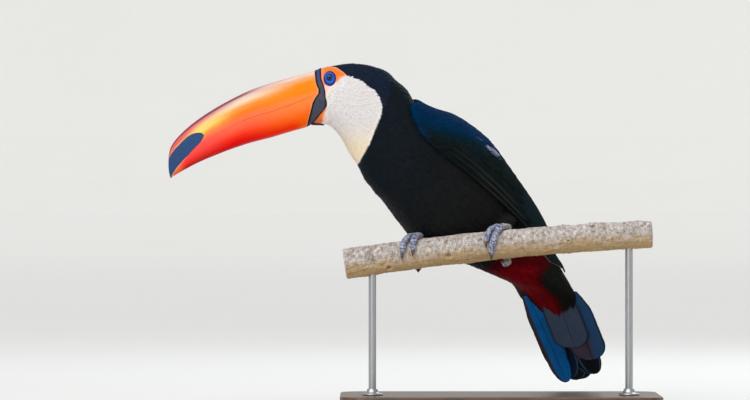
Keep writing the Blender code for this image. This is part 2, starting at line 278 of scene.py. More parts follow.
for word, operation in (("add", "ADD"), ("sub", "SUBTRACT"), ("mul", "MULTIPLY")):
    setattr(Wire, "__%s__" % word, lambda self, other, kind=operation: self.math(kind, self, other))
    setattr(Wire, "__r%s__" % word, lambda self, other, kind=operation: self.math(kind, other, self))


class Paint:
    # a material under one Principled shader; a colour given as three numbers is as a screen shows it
    def __init__(self, name):
        self.material = bpy.data.materials.new(name)
        self.material.use_nodes = True
        self.tree = self.material.node_tree
        self.shader = self.tree.nodes["Principled BSDF"]

    def node(self, kind, settings=None, inputs=(), output=0):
        made = self.tree.nodes.new(kind)
        for key, value in (settings or {}).items():
            setattr(made, key, value)
        for key, value in inputs.items() if isinstance(inputs, dict) else enumerate(inputs):
            self.put(made.inputs[key], value)
        return Wire(self, made.outputs[output])

    def put(self, socket, value):
        if isinstance(value, Wire):
            self.tree.links.new(value.socket, socket)
        else:
            socket.default_value = tint(*value) if socket.type == "RGBA" else value

    def value(self, name):  # a number that the mesh carries
        return self.node("ShaderNodeAttribute", {"attribute_name": name}, (), "Fac")

    def values(self, names):
        return [self.value(name) for name in names.split()]

    def place(self, scale=(1, 1, 1)):  # the object's own coordinates in millimetres, scaled
        spot = self.node("ShaderNodeTexCoord", None, (), "Object")
        return self.node("ShaderNodeMapping", None, {"Vector": spot, "Scale": tuple(1000 * s for s in scale)})

    def vector(self, x, y=0.0, z=0.0):
        return self.node("ShaderNodeCombineXYZ", None, (x, y, z))

    def noise(self, vector, scale, detail, rough=0.5):
        inputs = {"Vector": vector, "Scale": scale, "Detail": detail, "Roughness": rough}
        return self.node("ShaderNodeTexNoise", None, inputs)

    def ramp(self, value, *stops):  # each stop is its place and its red, green and blue
        made = self.node("ShaderNodeValToRGB", None, (value,))
        held = made.socket.node.color_ramp.elements
        while len(held) < len(stops):
            held.new(0.5)
        for stop, (place, *colour) in zip(held, stops):
            stop.position, stop.color = place, tint(*colour)
        return made

    def mix(self, share, first, second):
        return self.node("ShaderNodeMix", {"data_type": "RGBA"}, {0: share, 6: first, 7: second}, 2)

    def bump(self, height, strength, distance):
        inputs = {"Height": height, "Strength": strength, "Distance": distance * mm}
        return self.node("ShaderNodeBump", None, inputs)

    def finish(self, **sockets):
        for key, value in sockets.items():
            self.put(self.shader.inputs[key.replace("_", " ")], value)
        return self.material


# The body's own surface. Stations run from the face to the root of the tail: centre x, y, z, pitch and yaw,
# half depth, half width.
bodyStations = [
    (-193, -20, 327.8, 9, 0, 29.3, 21),
    (-177, -20, 328.3, 5, 0, 31.4, 24),
    (-162, -20, 323.4, 8, 0, 38.9, 26.5),
    (-147.2, -20, 314.6, 15, 2, 46.5, 27.5),
    (-131.7, -19, 303.2, 20, 6, 51.6, 29),
    (-119.6, -16, 287, 21, 12, 54.6, 33),
    (-101.6, -8.9, 266.6, 24, 18, 49.4, 40),
    (-77.4, 2.6, 249.4, 27, 22, 58.2, 44),
    (-48, 14.4, 223.8, 29, 24, 63, 45),
    (-18.8, 27.5, 200.3, 30, 27, 52.6, 41),
    (9.3, 39.7, 175.2, 36, 31, 40.6, 35),
    (30, 50, 151.5, 46, 40, 28, 31),
    (42.5, 57, 134, 53, 50, 17, 34),
    (52.5, 62.5, 117.5, 56, 60, 9.5, 34),
]
bodyStation = curveThrough(bodyStations)
bodyEnd = len(bodyStations) - 1
sectionPower = 2.2
headMiddle = -20  # y of the head's middle plane
tailAlong = (0.373, 0.4445, -0.809)
pastEnd = {"step": 20, "thinner": 3.4, "narrower": 9}  # of a section beyond the last station
fuller = {"nape": -2.8, "breast": 3.3}  # how much thicker the plumage is there than the loft


def plumper(s, degrees):  # a bell over the nape's middle, and an even swelling under the breast
    nape = fuller["nape"] * bell(s - 4.4, 0.5) * smooth(75, 35, np.abs(degrees))
    under = smooth(5.15, 5.75, s) * smooth(8.8, 7.6, s) * smooth(112, 158, np.abs(degrees))
    return nape + fuller["breast"] * under


def bodySurface(s, degrees, lift=0.0):
    # centre(s) + (half depth + lift) high up + (half width + lift) wide left, high and wide on a superellipse
    s, angle, lift = np.broadcast_arrays(np.asarray(s, float), np.radians(degrees), lift)
    lift = lift + plumper(s, (np.degrees(angle) + 180) % 360 - 180)
    row = bodyStation(s).copy()
    over = np.maximum(s - bodyEnd, 0)
    row[..., :3] += pastEnd["step"] * over[..., None] * np.array(tailAlong)
    row[..., 5] -= pastEnd["thinner"] * over
    row[..., 6] -= pastEnd["narrower"] * over
    pitch, yaw = np.radians(row[..., 3]), np.radians(row[..., 4])
    up = np.stack([np.sin(pitch) * np.cos(yaw), np.sin(pitch) * np.sin(yaw), np.cos(pitch)], -1)
    left = np.stack([np.sin(yaw), -np.cos(yaw), np.zeros_like(yaw)], -1)
    high, wide = rounded(angle, sectionPower)
    return (
        row[..., :3]
        + ((row[..., 5] + lift) * high)[..., None] * up
        + ((row[..., 6] + lift) * wide)[..., None] * left
    )


def perUnit(surface, a, b):  # millimetres for each step of one in a surface's first direction
    return np.linalg.norm(surface(a + 0.02, b) - surface(a - 0.02, b), axis=-1) / 0.04


perch = {
    "from": -163, "to": 158, "y": -34, "z": 172.3, "slope": 0.0967, "bend": -0.000168,
    "radius": 14.7, "taper": -0.0055,
}


def perchCentre(x):  # height z + slope x + bend x^2
    x = np.asarray(x, float)
    z = perch["z"] + perch["slope"] * x + perch["bend"] * x**2
    return np.stack([x, np.full_like(x, perch["y"]), z], -1)


def perchRadius(x):  # thins towards the right and swells at two old scars
    return perch["radius"] + perch["taper"] * x + 0.5 * bell(x + 40, 14) + 0.4 * bell(x - 96, 11)


def clearOfPerch(points, gap):
    # points nearer to the branch's middle line than its radius and a gap move straight out to that distance
    centre = perchCentre(points[..., 0])
    away = points - centre
    away[..., 0] = 0
    far = np.linalg.norm(away, axis=-1)
    reach = perchRadius(points[..., 0]) + gap
    grow = np.where(far < reach, reach / np.maximum(far, 1e-6), 1)
    return centre + away * grow[..., None] + (points - centre) * np.array([1.0, 0, 0])


# Markings, as outlines in stations and in degrees from the middle of the back. The bare skin follows the
# face's front edge, and both lie against the black cap and neck.
browEdge = [(-2, 3), (0.1, 4), (0.5, 7), (0.9, 12.8)]
marks = {
    "face": browEdge + [
        (1.43, 36.5), (1.83, 50), (2.23, 52.5), (2.68, 56), (3.03, 60), (3.4, 62.5), (3.69, 67), (3.8, 71.5),
        (3.98, 76), (4.08, 84), (4.08, 91), (4.1, 99), (4.12, 118), (3.99, 142), (3.9, 160), (3.9, 200),
        (-2, 200),
    ],
    "bare": browEdge + [
        (1.18, 24), (1.43, 36.5), (1.83, 50), (1.5, 56), (1.32, 66), (1.2, 73), (0.95, 80), (0.75, 90),
        (0.66, 100), (-2, 104),
    ],
    "gape": [(-2, 112), (0.72, 114), (0.8, 126), (0.93, 139), (0.89, 153), (0.71, 167), (0.4, 172), (-2, 174)],
    "chin": [(-2, 158), (0.05, 158), (0.25, 162), (0.42, 165), (0.6, 167), (0.74, 176), (0.74, 200), (-2, 200)],
    "red": [
        (9.7, 200), (9.72, 140), (9.75, 126), (10.05, 106), (10.45, 86), (10.85, 76), (11.1, 88), (11.2, 108),
        (11.32, 124), (11.7, 142), (12.6, 152), (15, 158), (15, 200),
    ],
    "rump": [(11.3, -2), (11.35, 14), (11.8, 25), (12.6, 27), (13.1, 24), (13.5, 12), (13.6, -2)],
}
perStation, perDegree = 18.0, 0.56  # millimetres, near the head


def markDistance(name, s, degrees):
    corners = np.array(marks[name]) * (perStation, perDegree)
    return signedDistance(np.asarray(s) * perStation, np.abs(degrees) * perDegree, corners)


def bareness(s, degrees):  # how far inside the bare skin round the eye or at the gape
    return np.maximum(markDistance("bare", s, degrees), markDistance("gape", s, degrees))


# The rear edge of the bill's black band on the head, in stations, by degrees from the top.
bandDegrees = (0, 23.5, 53, 64, 74.5, 84, 92.2, 101, 108.5, 115, 120.8, 132, 146.8, 164.5, 180)
bandStations = (0.05, 0.07, 0.19, 0.33, 0.51, 0.62, 0.69, 0.76, 0.80, 0.78, 0.63, 0.43, 0.25, 0.09, 0.03)


def bandEdge(degrees):  # eased by a mean over a few degrees
    return sum(np.interp(np.abs(degrees) + off, bandDegrees, bandStations) for off in (-5, -2.5, 0, 2.5, 5)) / 5


eye = {"x": -178.4, "z": 345.8, "depth": 14.6, "radius": 6.3, "ringLong": 6.7, "ringHigh": 8.1, "opening": 0.47}


def eyeCentre(sign):  # sign 1 is the bird's left, towards -Y
    return np.array([eye["x"], headMiddle - sign * eye["depth"], eye["z"]])


skin = {
    "rows": 290, "columns": 300, "wrinkle": 0.16,
    "depth": ((0, 0.5, 1.5, 3, 5, 7, 11, 13), (0.35, 0.7, 1.1, 1.5, 2.0, 2.6, 2.4, 1.2)),  # of the coat
}
thighs = {
    "left": ((-6, 12, 205), (9, -10, 190)),
    "right": ((-64, 10, 194), (-82, -10, 178)),
}


def coatDepth(s):
    return np.interp(s, *skin["depth"])


def denser(low, high, count, focus, width, gain):
    # count places from low to high, gain times closer together near the focus values
    fine = np.linspace(low, high, 4000)
    weight = 1 + sum(gain * bell(fine - at, width) for at in focus)
    total = np.concatenate([[0], np.cumsum((weight[1:] + weight[:-1]) / 2)])
    return np.interp(np.linspace(0, total[-1], count), total, fine)


def thighSurface(side):
    # a tube from the flank to the ankle, of radius 4.5 + 9 sin(pi (0.16 + 0.84 (1 - t)^0.8))^0.8;
    # its rows run from 0 to 10
    top, ankle = (np.array(end, float) for end in thighs[side])
    ahead = unit(ankle - top)
    across = unit(np.cross(ahead, (0, 0, 1)))
    up = np.cross(across, ahead)

    def at(t, degrees, lift=0.0):
        t, angle, lift = np.broadcast_arrays(np.asarray(t, float) / 10, np.radians(degrees), lift)
        inner = np.clip(t, 0, 1)
        radius = 4.5 + 9 * np.sin(math.pi * (0.16 + 0.84 * (1 - inner) ** 0.8)) ** 0.8 + lift
        return (
            top + t[..., None] * (ankle - top)
            + (radius * np.cos(angle))[..., None] * up
            + (radius * np.sin(angle))[..., None] * across
        )

    return at


def overEye(points):
    # near an eye the skin swells over the eyeball as a ringed lid, and inside the opening it drops behind it
    ring = np.full(points.shape[:-1], 9.0)
    for sign in (1, -1):
        centre = eyeCentre(sign)
        away = points - centre
        near = (points[..., 1] - headMiddle) * -sign > 0
        q = np.hypot(away[..., 0] / eye["ringLong"], away[..., 2] / eye["ringHigh"])
        q = np.where(near, q, 9)
        far = np.linalg.norm(away, axis=-1)
        lid = eye["radius"] + 0.4 + 0.7 * bell(q - 0.76, 0.17) + 0.25 * bell(q - eye["opening"] - 0.04, 0.05)
        hold = 1 - smooth(0.9, 1.25, q)
        grown = far + (np.maximum(far, lid) - far) * hold - 0.4 * bell(q - 1.04, 0.05)
        grown = np.where(q < eye["opening"], eye["radius"] - 1.3, grown)
        grown = np.where(q < 2, grown, far)
        points = centre + away * (grown / np.maximum(far, 1e-6))[..., None]
        ring = np.minimum(ring, q)
    return points, ring


def skinShape():
    # the loft less the coat's depth, bare and wrinkled on the face, with both thighs
    s = denser(0, bodyEnd, skin["rows"], (0.8,), 0.55, 6)[:, None]
    turn = denser(-180, 180, skin["columns"] + 1, (-60, 60), 17, 3)[:-1][None, :]
    s, turn = np.broadcast_arrays(s, turn)
    bare, chin = bareness(s, turn), markDistance("chin", s, turn)
    # the coat's depth ends at the bare skin, and the chin's strip, painted black as shade, stands out
    inset = coatDepth(s) * (1 - smooth(-1.6, 0.2, np.maximum(bare, chin))) - 1.5 * smooth(-0.6, 1.2, chin)
    points = bodySurface(s, turn, -inset)
    fold = roughness(points, 1.3, 3) + 0.6 * roughness(points, 0.6, 4)
    fold = skin["wrinkle"] * fold * smooth(-1, 0.5, bare)
    points, ring = overEye(bodySurface(s, turn, fold - inset))
    points = clearOfPerch(points, 0.3)
    # the bare skin turns pale towards the cheek, and away from the band below the mouth
    gapeEdge = bandEdge(turn) + 0.02 + 0.34 * smooth(122, 162, np.abs(turn))
    cheek = smooth(58, 78, np.abs(turn) + 6 * (s - 1.2))
    pale = np.where(np.abs(turn) < 105, cheek, smooth(-0.04, 0.26, s - gapeEdge))
    blush = np.maximum(smooth(4.5, 0.5, bare) * smooth(1.5, 1.05, s), 0.8 * smooth(1.4, 0.2, bare))
    blush = np.maximum(blush, 0.7 * smooth(0.34, 0.08, s - bandEdge(turn)) * smooth(75, 60, np.abs(turn)))
    values = {"bare": bare, "ring": ring, "chin": chin, "pale": pale, "blush": blush}
    values.update({name: markDistance(name, s, turn) for name in ("face", "red", "rump")})
    shapes, held = [closedTube(points)], {key: [withPoles(v)] for key, v in values.items()}
    uv = [np.stack([withPoles(turn) / 360 + 0.5, withPoles(s) / bodyEnd], -1)]
    for side in thighs:
        t, angle = np.linspace(0, 10, 24)[:, None], np.linspace(0, 360, 40, endpoint=False)[None, :]
        shapes.append(closedTube(clearOfPerch(thighSurface(side)(t, angle, -1.2), 0.3)))
        count = len(shapes[-1][0])
        for key in held:
            held[key].append(np.full(count, 9.0 if key == "ring" else -30.0))
        uv.append(np.stack([np.full(count, 0.98), np.linspace(0.3, 0.4, count)], -1))
    return joined(shapes), {key: np.concatenate(v) for key, v in held.items()}, np.concatenate(uv)


def skinPaint():
    # black, with the face, the vent and the rump in their own colours, warm bare skin and the eye's blue ring
    paint = Paint("skin")
    bare, ring, face, red, rump, chin, pale, blush = paint.values("bare ring face red rump chin pale blush")
    grain = paint.noise(paint.place(), 0.9, 4, 0.6)
    coarse = paint.noise(paint.place(), 0.16, 2)
    ruffled = (grain - 0.5) * 1.2
    base = (22, 23, 27)
    for mark, colour in ((face, (232, 222, 208)), (red, (84, 4, 8)), (rump, (225, 222, 214))):
        base = paint.mix((mark + ruffled).between(-0.3, 0.3), base, colour)
    warm = paint.ramp(coarse * 0.6 + grain * 0.4, (0.3, 240, 96, 10), (0.5, 242, 122, 12), (0.7, 240, 112, 36))
    rosy = paint.mix(grain, (244, 190, 180), (240, 206, 198))
    edged = paint.mix(blush * 0.8, warm, (240, 146, 126))
    edged = paint.mix(chin.between(-14.0, -8.0) * 0.85, edged, (206, 104, 62))
    flesh = paint.mix((pale + (grain - 0.5) * 0.25).between(0.1, 0.9), edged, rosy)
    flesh = paint.mix(bare.between(3.2, 0.2) * pale.between(0.2, 0.8) * 0.8, flesh, (240, 226, 220))
    base = paint.mix((bare + (grain - 0.5) * 3).between(-2.2, 1.2), base, flesh)
    blue = paint.ramp(
        (ring - 0.4) * 1.67 + (grain - 0.5) * 0.12,
        (0.0, 6, 8, 24), (0.08, 30, 90, 160), (0.2, 44, 112, 186), (0.36, 14, 62, 160), (0.6, 14, 44, 150),
        (0.8, 16, 20, 108), (0.97, 34, 16, 70),
    )
    base = paint.mix(ring.between(1.06, 0.99), base, blue)
    # a black strip along the chin: painted shade under the gape
    base = paint.mix((chin + ruffled * 0.4).between(-0.25, 0.25), base, (26, 20, 22))
    bump = paint.bump(grain, 0.4, 0.2)
    return paint.finish(Base_Color=base, Roughness=0.5 + grain * 0.2, Normal=bump, Specular_IOR_Level=0.22)


tuft = {"flare": 0.95, "cup": 0.35, "rows": (0.0, 0.42, 0.76)}


def tuftShape(blades):
    # A fan of narrow blades. u runs from the root to the tip, side is a share of the half width, high is a
    # share of it.
    middle = (2 * np.arange(blades) + 1) / blades - 1
    reach = 1 - 0.26 * middle**2 - 0.05 * (np.arange(blades) % 2)
    spread = np.interp(tuft["rows"], (0, 0.5, 1), (0.5, 0.92, tuft["flare"]))
    half = np.interp(tuft["rows"], (0, 0.4, 0.8, 1), (0.62, 1.08, 0.72, 0.1)) / blades
    u, side = [], []
    for row, wide, thin in zip(tuft["rows"], spread, half):
        u += [row * reach, row * reach]
        side += [middle * wide - thin, middle * wide + thin]
    u, side = np.array(u + [reach]), np.array(side + [middle * tuft["flare"] * 1.02])
    count = len(u)
    corner = [(0, 1, 3), (0, 3, 2), (2, 3, 5), (2, 5, 4), (4, 5, 6)]
    faces = np.array([[i * blades + b for i in face] for b in range(blades) for face in corner])
    high = (-tuft["cup"] * side**2).ravel()
    return {"u": u.ravel(), "side": side.ravel(), "high": high, "faces": faces, "count": count * blades}


def vaneShape(rows, columns, root, full, turnIn, cup, tip, lean, quill=0.0):
    # A rounded leaf: half width rises from root to 1 by u = full, and closes past u = turnIn as a quarter
    # ellipse down to a short curved tip edge, whose sides lie back by lean v^2. Rows crowd towards the tip.
    u = (1 - (1 - np.linspace(0, 1, rows)) ** 1.6)[:, None]
    v = np.linspace(-1, 1, columns)[None, :]
    closing = np.sqrt(np.maximum(1 - np.clip((u - turnIn) / (1 - turnIn), 0, 1) ** 2.2, tip**2))
    side = (root + (1 - root) * smooth(0, full, u)) * closing * v
    high = -cup * side**2 + quill * bell(side, 0.09)
    reach = u - lean * v**2 * u**4
    faces = gridFaces(rows, columns)
    grids = {"u": reach.ravel(), "side": side.ravel(), "high": high.ravel()}
    return {**grids, "faces": faces, "count": rows * columns}


def layFeathers(surface, a, b, length, heading, width, shape, low, high, uvOf, seed, close=False):
    # Each feather's point is the surface at its root's place, plus along and across in millimetres over the
    # surface's own scale there, lifted from low at the root to high at the tip. Heading is degrees off the a
    # direction. With close, the scale is taken anew all along each feather.
    rng = np.random.default_rng(seed)
    count, step = len(a), 0.8
    a, b = np.asarray(a, float), np.asarray(b, float)
    given = (length, heading, width, low, high)
    length, heading, width, low, high = (np.broadcast_to(np.asarray(x, float), a.shape)[:, None] for x in given)

    def scaleOf(p, q):
        perB = np.linalg.norm(surface(p, q + step) - surface(p, q - step), axis=-1) / (2 * step)
        return np.maximum(perUnit(surface, p, q), 1e-3), np.maximum(perB, 1e-3)

    perA, perB = (per[:, None] for per in scaleOf(a, b))
    u, side = shape["u"][None, :], shape["side"][None, :]
    cosine, sine = np.cos(np.radians(heading)), np.sin(np.radians(heading))
    along, across = length * u, width / 2 * side
    midA, midB = a[:, None] + along * cosine / perA, b[:, None] + along * sine / perB
    if close:
        perA, perB = scaleOf(midA, midB)
    atA, atB = midA - across * sine / perA, midB + across * cosine / perB
    lift = low + (high - low) * u**0.8 + shape["high"][None, :] * width / 2
    points = surface(atA, atB, lift + rng.uniform(-0.08, 0.08, (count, 1)))
    offset = (np.arange(count) * shape["count"])[:, None, None]
    faces = (shape["faces"][None] + offset).reshape(-1, shape["faces"].shape[1])
    out = surface(a, b, 1.0) - surface(a, b, 0.0)
    first = points[:, shape["faces"][0]]
    facing = np.einsum("ij,ij->i", np.cross(first[:, 1] - first[:, 0], first[:, 2] - first[:, 0]), out)
    if np.median(facing) < 0:
        faces = faces[:, ::-1]
    values = {"along": u, "across": side, "seed": rng.uniform(0, 1, (count, 1))}
    values["barb"] = along - 0.8 * np.abs(across)
    values = {key: np.broadcast_to(grid, points.shape[:2]).ravel() for key, grid in values.items()}
    centre = uvOf(a, b)
    uv = [centre[0][:, None] + 0.0015 * side, centre[1][:, None] + 0.003 * (u - 0.5)]
    uv = np.stack(uv, -1).reshape(-1, 2)
    return {"points": points.reshape(-1, 3), "faces": faces, "values": values, "uv": uv, "each": shape["count"]}


def together(sets):
    # several laid sets as one
    firsts = np.cumsum([0] + [len(own["points"]) for own in sets])
    whole = {key: np.concatenate([own[key] for own in sets]) for key in ("points", "uv")}
    whole["faces"] = np.concatenate([own["faces"] + first for own, first in zip(sets, firsts)])
    whole["values"] = {key: np.concatenate([own["values"][key] for own in sets]) for key in sets[0]["values"]}
    return whole


def addValues(laid, **extra):
    # a number per feather, or one for them all, is given to each of its points
    feathers = len(laid["points"]) // laid["each"]
    for key, value in extra.items():
        laid["values"][key] = np.repeat(np.broadcast_to(value, feathers), laid["each"])
    return laid


def featherPiece(name, laid, paint, replaces=()):
    return pieceOf(name, (laid["points"], laid["faces"]), paint, replaces, laid["values"], laid["uv"])


def bodyMap(s, degrees):  # the skin's unwrap: degrees across, stations up
    return np.mod(np.asarray(degrees) / 360 + 0.5, 1), np.asarray(s) / bodyEnd


coat = {
    "stations": (0, 0.6, 1.5, 2.5, 3.5, 4.5, 6, 8, 10, 11.2, 13),
    "spacing": (1.15, 1.25, 1.5, 1.6, 1.75, 2.1, 2.7, 3.1, 3.1, 3.0, 2.8),
    "length": (3.2, 4.0, 5.4, 6.2, 7.0, 8.5, 11, 13, 13.5, 15, 25),
    "width": (2.2, 2.5, 3.0, 3.2, 3.6, 4.4, 5.8, 6.6, 6.8, 6.8, 8.5),
    "clearance": 0.45,  # over the perch
}
coatKinds = {
    # slot, blades of a tuft, the paint's name, its colours (main, second, tip, low), roughness, streaks, shine
    # the bib's low colour, a warm cream, is partly its own tint and partly painted light on its shaded lower
    # part
    "bib": (
        "bib", 6, "bibFeather",
        (232, 229, 229), (232, 223, 219), (236, 234, 234), (250, 234, 204), 0.7, 0.15, 0.1,
    ),
    # the neck's low colour is a bluish painted sheen
    "neck": (
        "black_plumage", 5, "blackFeather",
        (13, 14, 13), (28, 28, 26), (21, 22, 22), (12, 24, 34), 0.55, 0.35, 0.07,
    ),
    # the cap's bluish tints are a painted sheen on black feathers
    "cap": ("black_plumage", 6, "capFeather", (12, 20, 35), (21, 38, 62), (16, 31, 52), None, 0.55, 0.35, 0.08),
    # the crissum's low colour is painted shadow under the branch, and also the dark at its edge beside the
    # black
    "crissum": ("crissum", 5, "redFeather", (104, 1, 12), (140, 3, 20), (84, 1, 8), (30, 3, 6), 0.6, 0.4, 0.04),
    "rump": ("bib", 5, "rumpFeather", (232, 229, 220), (214, 208, 194), (238, 236, 230), None, 0.7, 0.3, 0.1),
}
wing = {
    "from": 5.58, "to": 11.6, "upper": 2.0, "lower": 79.0, "thick": 6.0, "slant": 1.4, "shoulder": 2.6,
    "ahead": 0.3,
}
blade = {
    "from": 7.4, "to": 12.3, "upper": 24.0, "lower": 85.0, "thick": 1.8, "slant": 1.2, "shoulder": 0,
    "ahead": 0,
}
wingLift = 0.8


def wingFront(v, plan):
    # station of the front edge: from + slant v^7, less a bell ahead of the shoulder
    v = np.clip(v, 0, 1)
    return plan["from"] + plan["slant"] * v**7 - plan["ahead"] * bell(v - 0.6, 0.2)


def wingNarrow(w):  # the share of the width that is left towards the tip
    return 1 - 0.86 * np.clip((w - 0.6) / 0.4, 0, 1) ** 2


def wingPlace(s, degrees):
    # share along and across the wing of a place on the body; the front edge slants with the across share
    across = np.abs(degrees)
    v = (across - wing["upper"]) / (wing["lower"] - wing["upper"])
    for _ in range(3):
        front = wingFront(v, wing)
        w = (s - front) / (wing["to"] - front)
        v = (across - wing["upper"]) / ((wing["lower"] - wing["upper"]) * wingNarrow(w))
    return w, v


def coatRoots(rng):
    # rows along the body, each with evenly spaced roots round it, every other row shifted by half a step
    places, s, row = [], 0.03, 0
    dense = np.linspace(-180, 180, 721)
    while s < bodyEnd - 0.05:
        spacing = np.interp(s, coat["stations"], coat["spacing"])
        ring = bodySurface(s, dense)
        arc = np.concatenate([[0], np.cumsum(np.linalg.norm(np.diff(ring, axis=0), axis=-1))])
        count = int(arc[-1] / spacing)
        steps = (np.arange(count) + 0.5 * (row % 2) + rng.uniform(-0.28, 0.28, count)) / count * arc[-1]
        degrees = np.interp(np.mod(steps, arc[-1]), arc, dense)
        perA = perUnit(bodySurface, s, degrees)
        places.append(np.stack([s + rng.uniform(-0.3, 0.3, count) * spacing / perA, degrees], -1))
        s += spacing / perA.mean()
        row += 1
    return np.concatenate(places)


def coatPaint(name, colour, second, tip, low, rough, streak, specular):
    # second varies from tuft to tuft, tip tints the outer part, low the low ones, and fine barbs run along
    paint = Paint(name)
    along, barb, seed, across = paint.values("along barb seed across")
    fine = paint.noise(paint.vector(barb * 0.5, across * 4, seed * 40), 2.0, 2)
    patch = paint.noise(paint.place(), 0.035, 2)
    base = paint.mix((seed * 0.7 + patch * 0.6 - 0.25).between(0.1, 0.9), colour, second)
    base = paint.mix(along.between(0.45, 1.0) * 0.8, base, tip)
    base = paint.mix(fine * streak, base, second)
    if low:
        base = paint.mix(paint.value("low"), base, low)
    bump = paint.bump(fine, 0.35, 0.2)
    rough = rough + (fine - 0.5) * 0.2
    return paint.finish(Base_Color=base, Roughness=rough, Normal=bump, Specular_IOR_Level=specular)


def thighMap(a, b):  # the unwrap of the thighs' tufts, beside the body's
    return 0.97 + 0 * a, 0.3 + a / 100 + b / 20000


def layThighs(rng, paint):
    # rows round each leg, down to the ankle
    for side in thighs:
        t = np.arange(0.6, 9.3, 0.95)
        steps = np.arange(14) * 360 / 14
        places = [np.stack([np.full(14, row), steps + 12 * (i % 2)], -1) for i, row in enumerate(t)]
        places = np.concatenate(places)
        places += rng.uniform(-0.25, 0.25, places.shape) * (1, 18)
        long, heading = rng.uniform(6, 9, len(places)), rng.uniform(-10, 10, len(places))
        laid = layFeathers(
            thighSurface(side), places[:, 0], places[:, 1], long, heading, 6.0, tuftShape(6),
            -1.1, rng.uniform(-0.1, 0.6, len(places)), thighMap, 40,
        )
        laid["points"] = clearOfPerch(laid["points"], coat["clearance"])
        featherPiece("coat_thigh_" + side, laid, paint)


def layCoat():
    # soft tufts on the roots, parted into pieces by the markings and the stations, and then the thighs
    rng = np.random.default_rng(11)
    roots = coatRoots(rng)
    s, degrees = roots.T
    length, width = (np.interp(s, coat["stations"], coat[key]) for key in ("length", "width"))
    around = np.abs(degrees)
    stretch = 0.75 + 0.2 * smooth(80, 110, around) * smooth(160, 135, around)
    tips = s + stretch * length / perUnit(bodySurface, s, degrees)
    # tips near the edge of the white are drawn in or out to end on it
    shares = np.linspace(0.55, 1.5, 39)[:, None]
    reach = markDistance("face", s + shares * (tips - s), degrees + 0 * shares)
    fits = shares[np.abs(reach - 0.15).argmin(axis=0), 0]
    face = markDistance("face", tips, degrees)
    nearEdge = (np.abs(face) < 1.7) & (np.abs(reach - 0.15).min(axis=0) < 0.2)
    face = np.where(nearEdge & (fits < 1), 0.5, face)
    length = length * np.where(nearEdge & (face > 0), fits, 1)
    wander = np.where(nearEdge & (face > 0), 0.25, 1)
    bare = np.maximum(bareness(s, degrees), markDistance("chin", s, degrees))
    red = markDistance("red", tips, degrees) + rng.uniform(-1.5, 1.5, len(s))
    rump = markDistance("rump", s, degrees)
    w, v = wingPlace(s, degrees)
    underWing = (w > 0.05) & (w < 0.97) & (v > -0.02) & (v < 0.9)
    underWing |= (w > 0.05) & (w < 0.93) & (v <= 0.03)
    keep = ~underWing & (bare < -0.4) & (s > bandEdge(degrees) + 0.03)
    # short and low where the neck meets the wings and over the tail's root
    behindNeck = smooth(4.7, 5.5, s) * smooth(6.2, 5.9, s) * smooth(60, 25, around)
    sunk = 0.6 * behindNeck + 1.2 * smooth(10.9, 12.2, s) * smooth(80, 40, around)
    length = length * (1 - 0.5 * behindNeck)
    kinds = {
        "bib": face > 0,
        "cap": (face <= 0) & (s < 3.9),
        "neck": (face <= 0) & (s >= 3.9) & (s < 6.2),
        "breast": (s >= 6.2) & (s < 8.2) & (red <= 0),
        "belly": (s >= 8.2) & (red <= 0) & (rump <= 0),
        "crissum": red > 0,
        "rump": (rump > 0) & (red <= 0),
    }
    paints = {name: coatPaint(*kind[2:]) for name, kind in coatKinds.items()}
    for number, (name, within) in enumerate(kinds.items()):
        which = keep & within
        count = which.sum()
        slot, blades = coatKinds.get(name, coatKinds["neck"])[:2]
        long = length[which] * (1 + rng.uniform(-0.15, 0.15, count) * wander[which])
        long = long * (1.25 if name in ("crissum", "rump") else 1)
        long *= 0.35 + 0.65 * smooth(0.2, 4.5, -bare[which])
        heading = rng.uniform(-9, 9, count) * wander[which]
        wide = width[which] * rng.uniform(0.9, 1.15, count)
        laid = layFeathers(
            bodySurface, s[which], degrees[which], long, heading, wide, tuftShape(blades),
            -coatDepth(s[which]), rng.uniform(-0.25, 0.45, count) - sunk[which], bodyMap, 20 + number,
        )
        laid["points"] = clearOfPerch(laid["points"], coat["clearance"])
        # how much of the low colour: down the bib, partly painted light; over the vent's front under the
        # branch, painted shadow, and at its edge beside the black; and on the neck, a painted sheen
        high = bodySurface(s[which], degrees[which])[:, 2]
        if name == "bib":
            # down the bib: a warm cream, partly its own tint and partly painted light on the shaded lower part
            low = smooth(306, 268, high)
        elif name == "crissum":
            # painted shadow of the branch over the vent's upper part, and darker at the edge beside the black
            low = np.maximum(0.6 * smooth(150, 160, high), 0.7 * smooth(9, 1, red[which]))
        else:
            # a bluish painted sheen on the neck, fading down the breast
            low = 0.75 * smooth(8.6, 4.2, s[which])
        featherPiece("coat_" + name, addValues(laid, low=low), paints.get(name, paints["neck"]))
        report("coat_%s: %d tufts, %d triangles" % (name, count, len(laid["faces"])))
    layThighs(rng, paints["neck"])


def shellLift(w):
    return wingLift + 0.8 + blade["thick"] * np.clip(w / 0.1, 0, 1) + w


def bladeLift(w):
    return wingLift + w


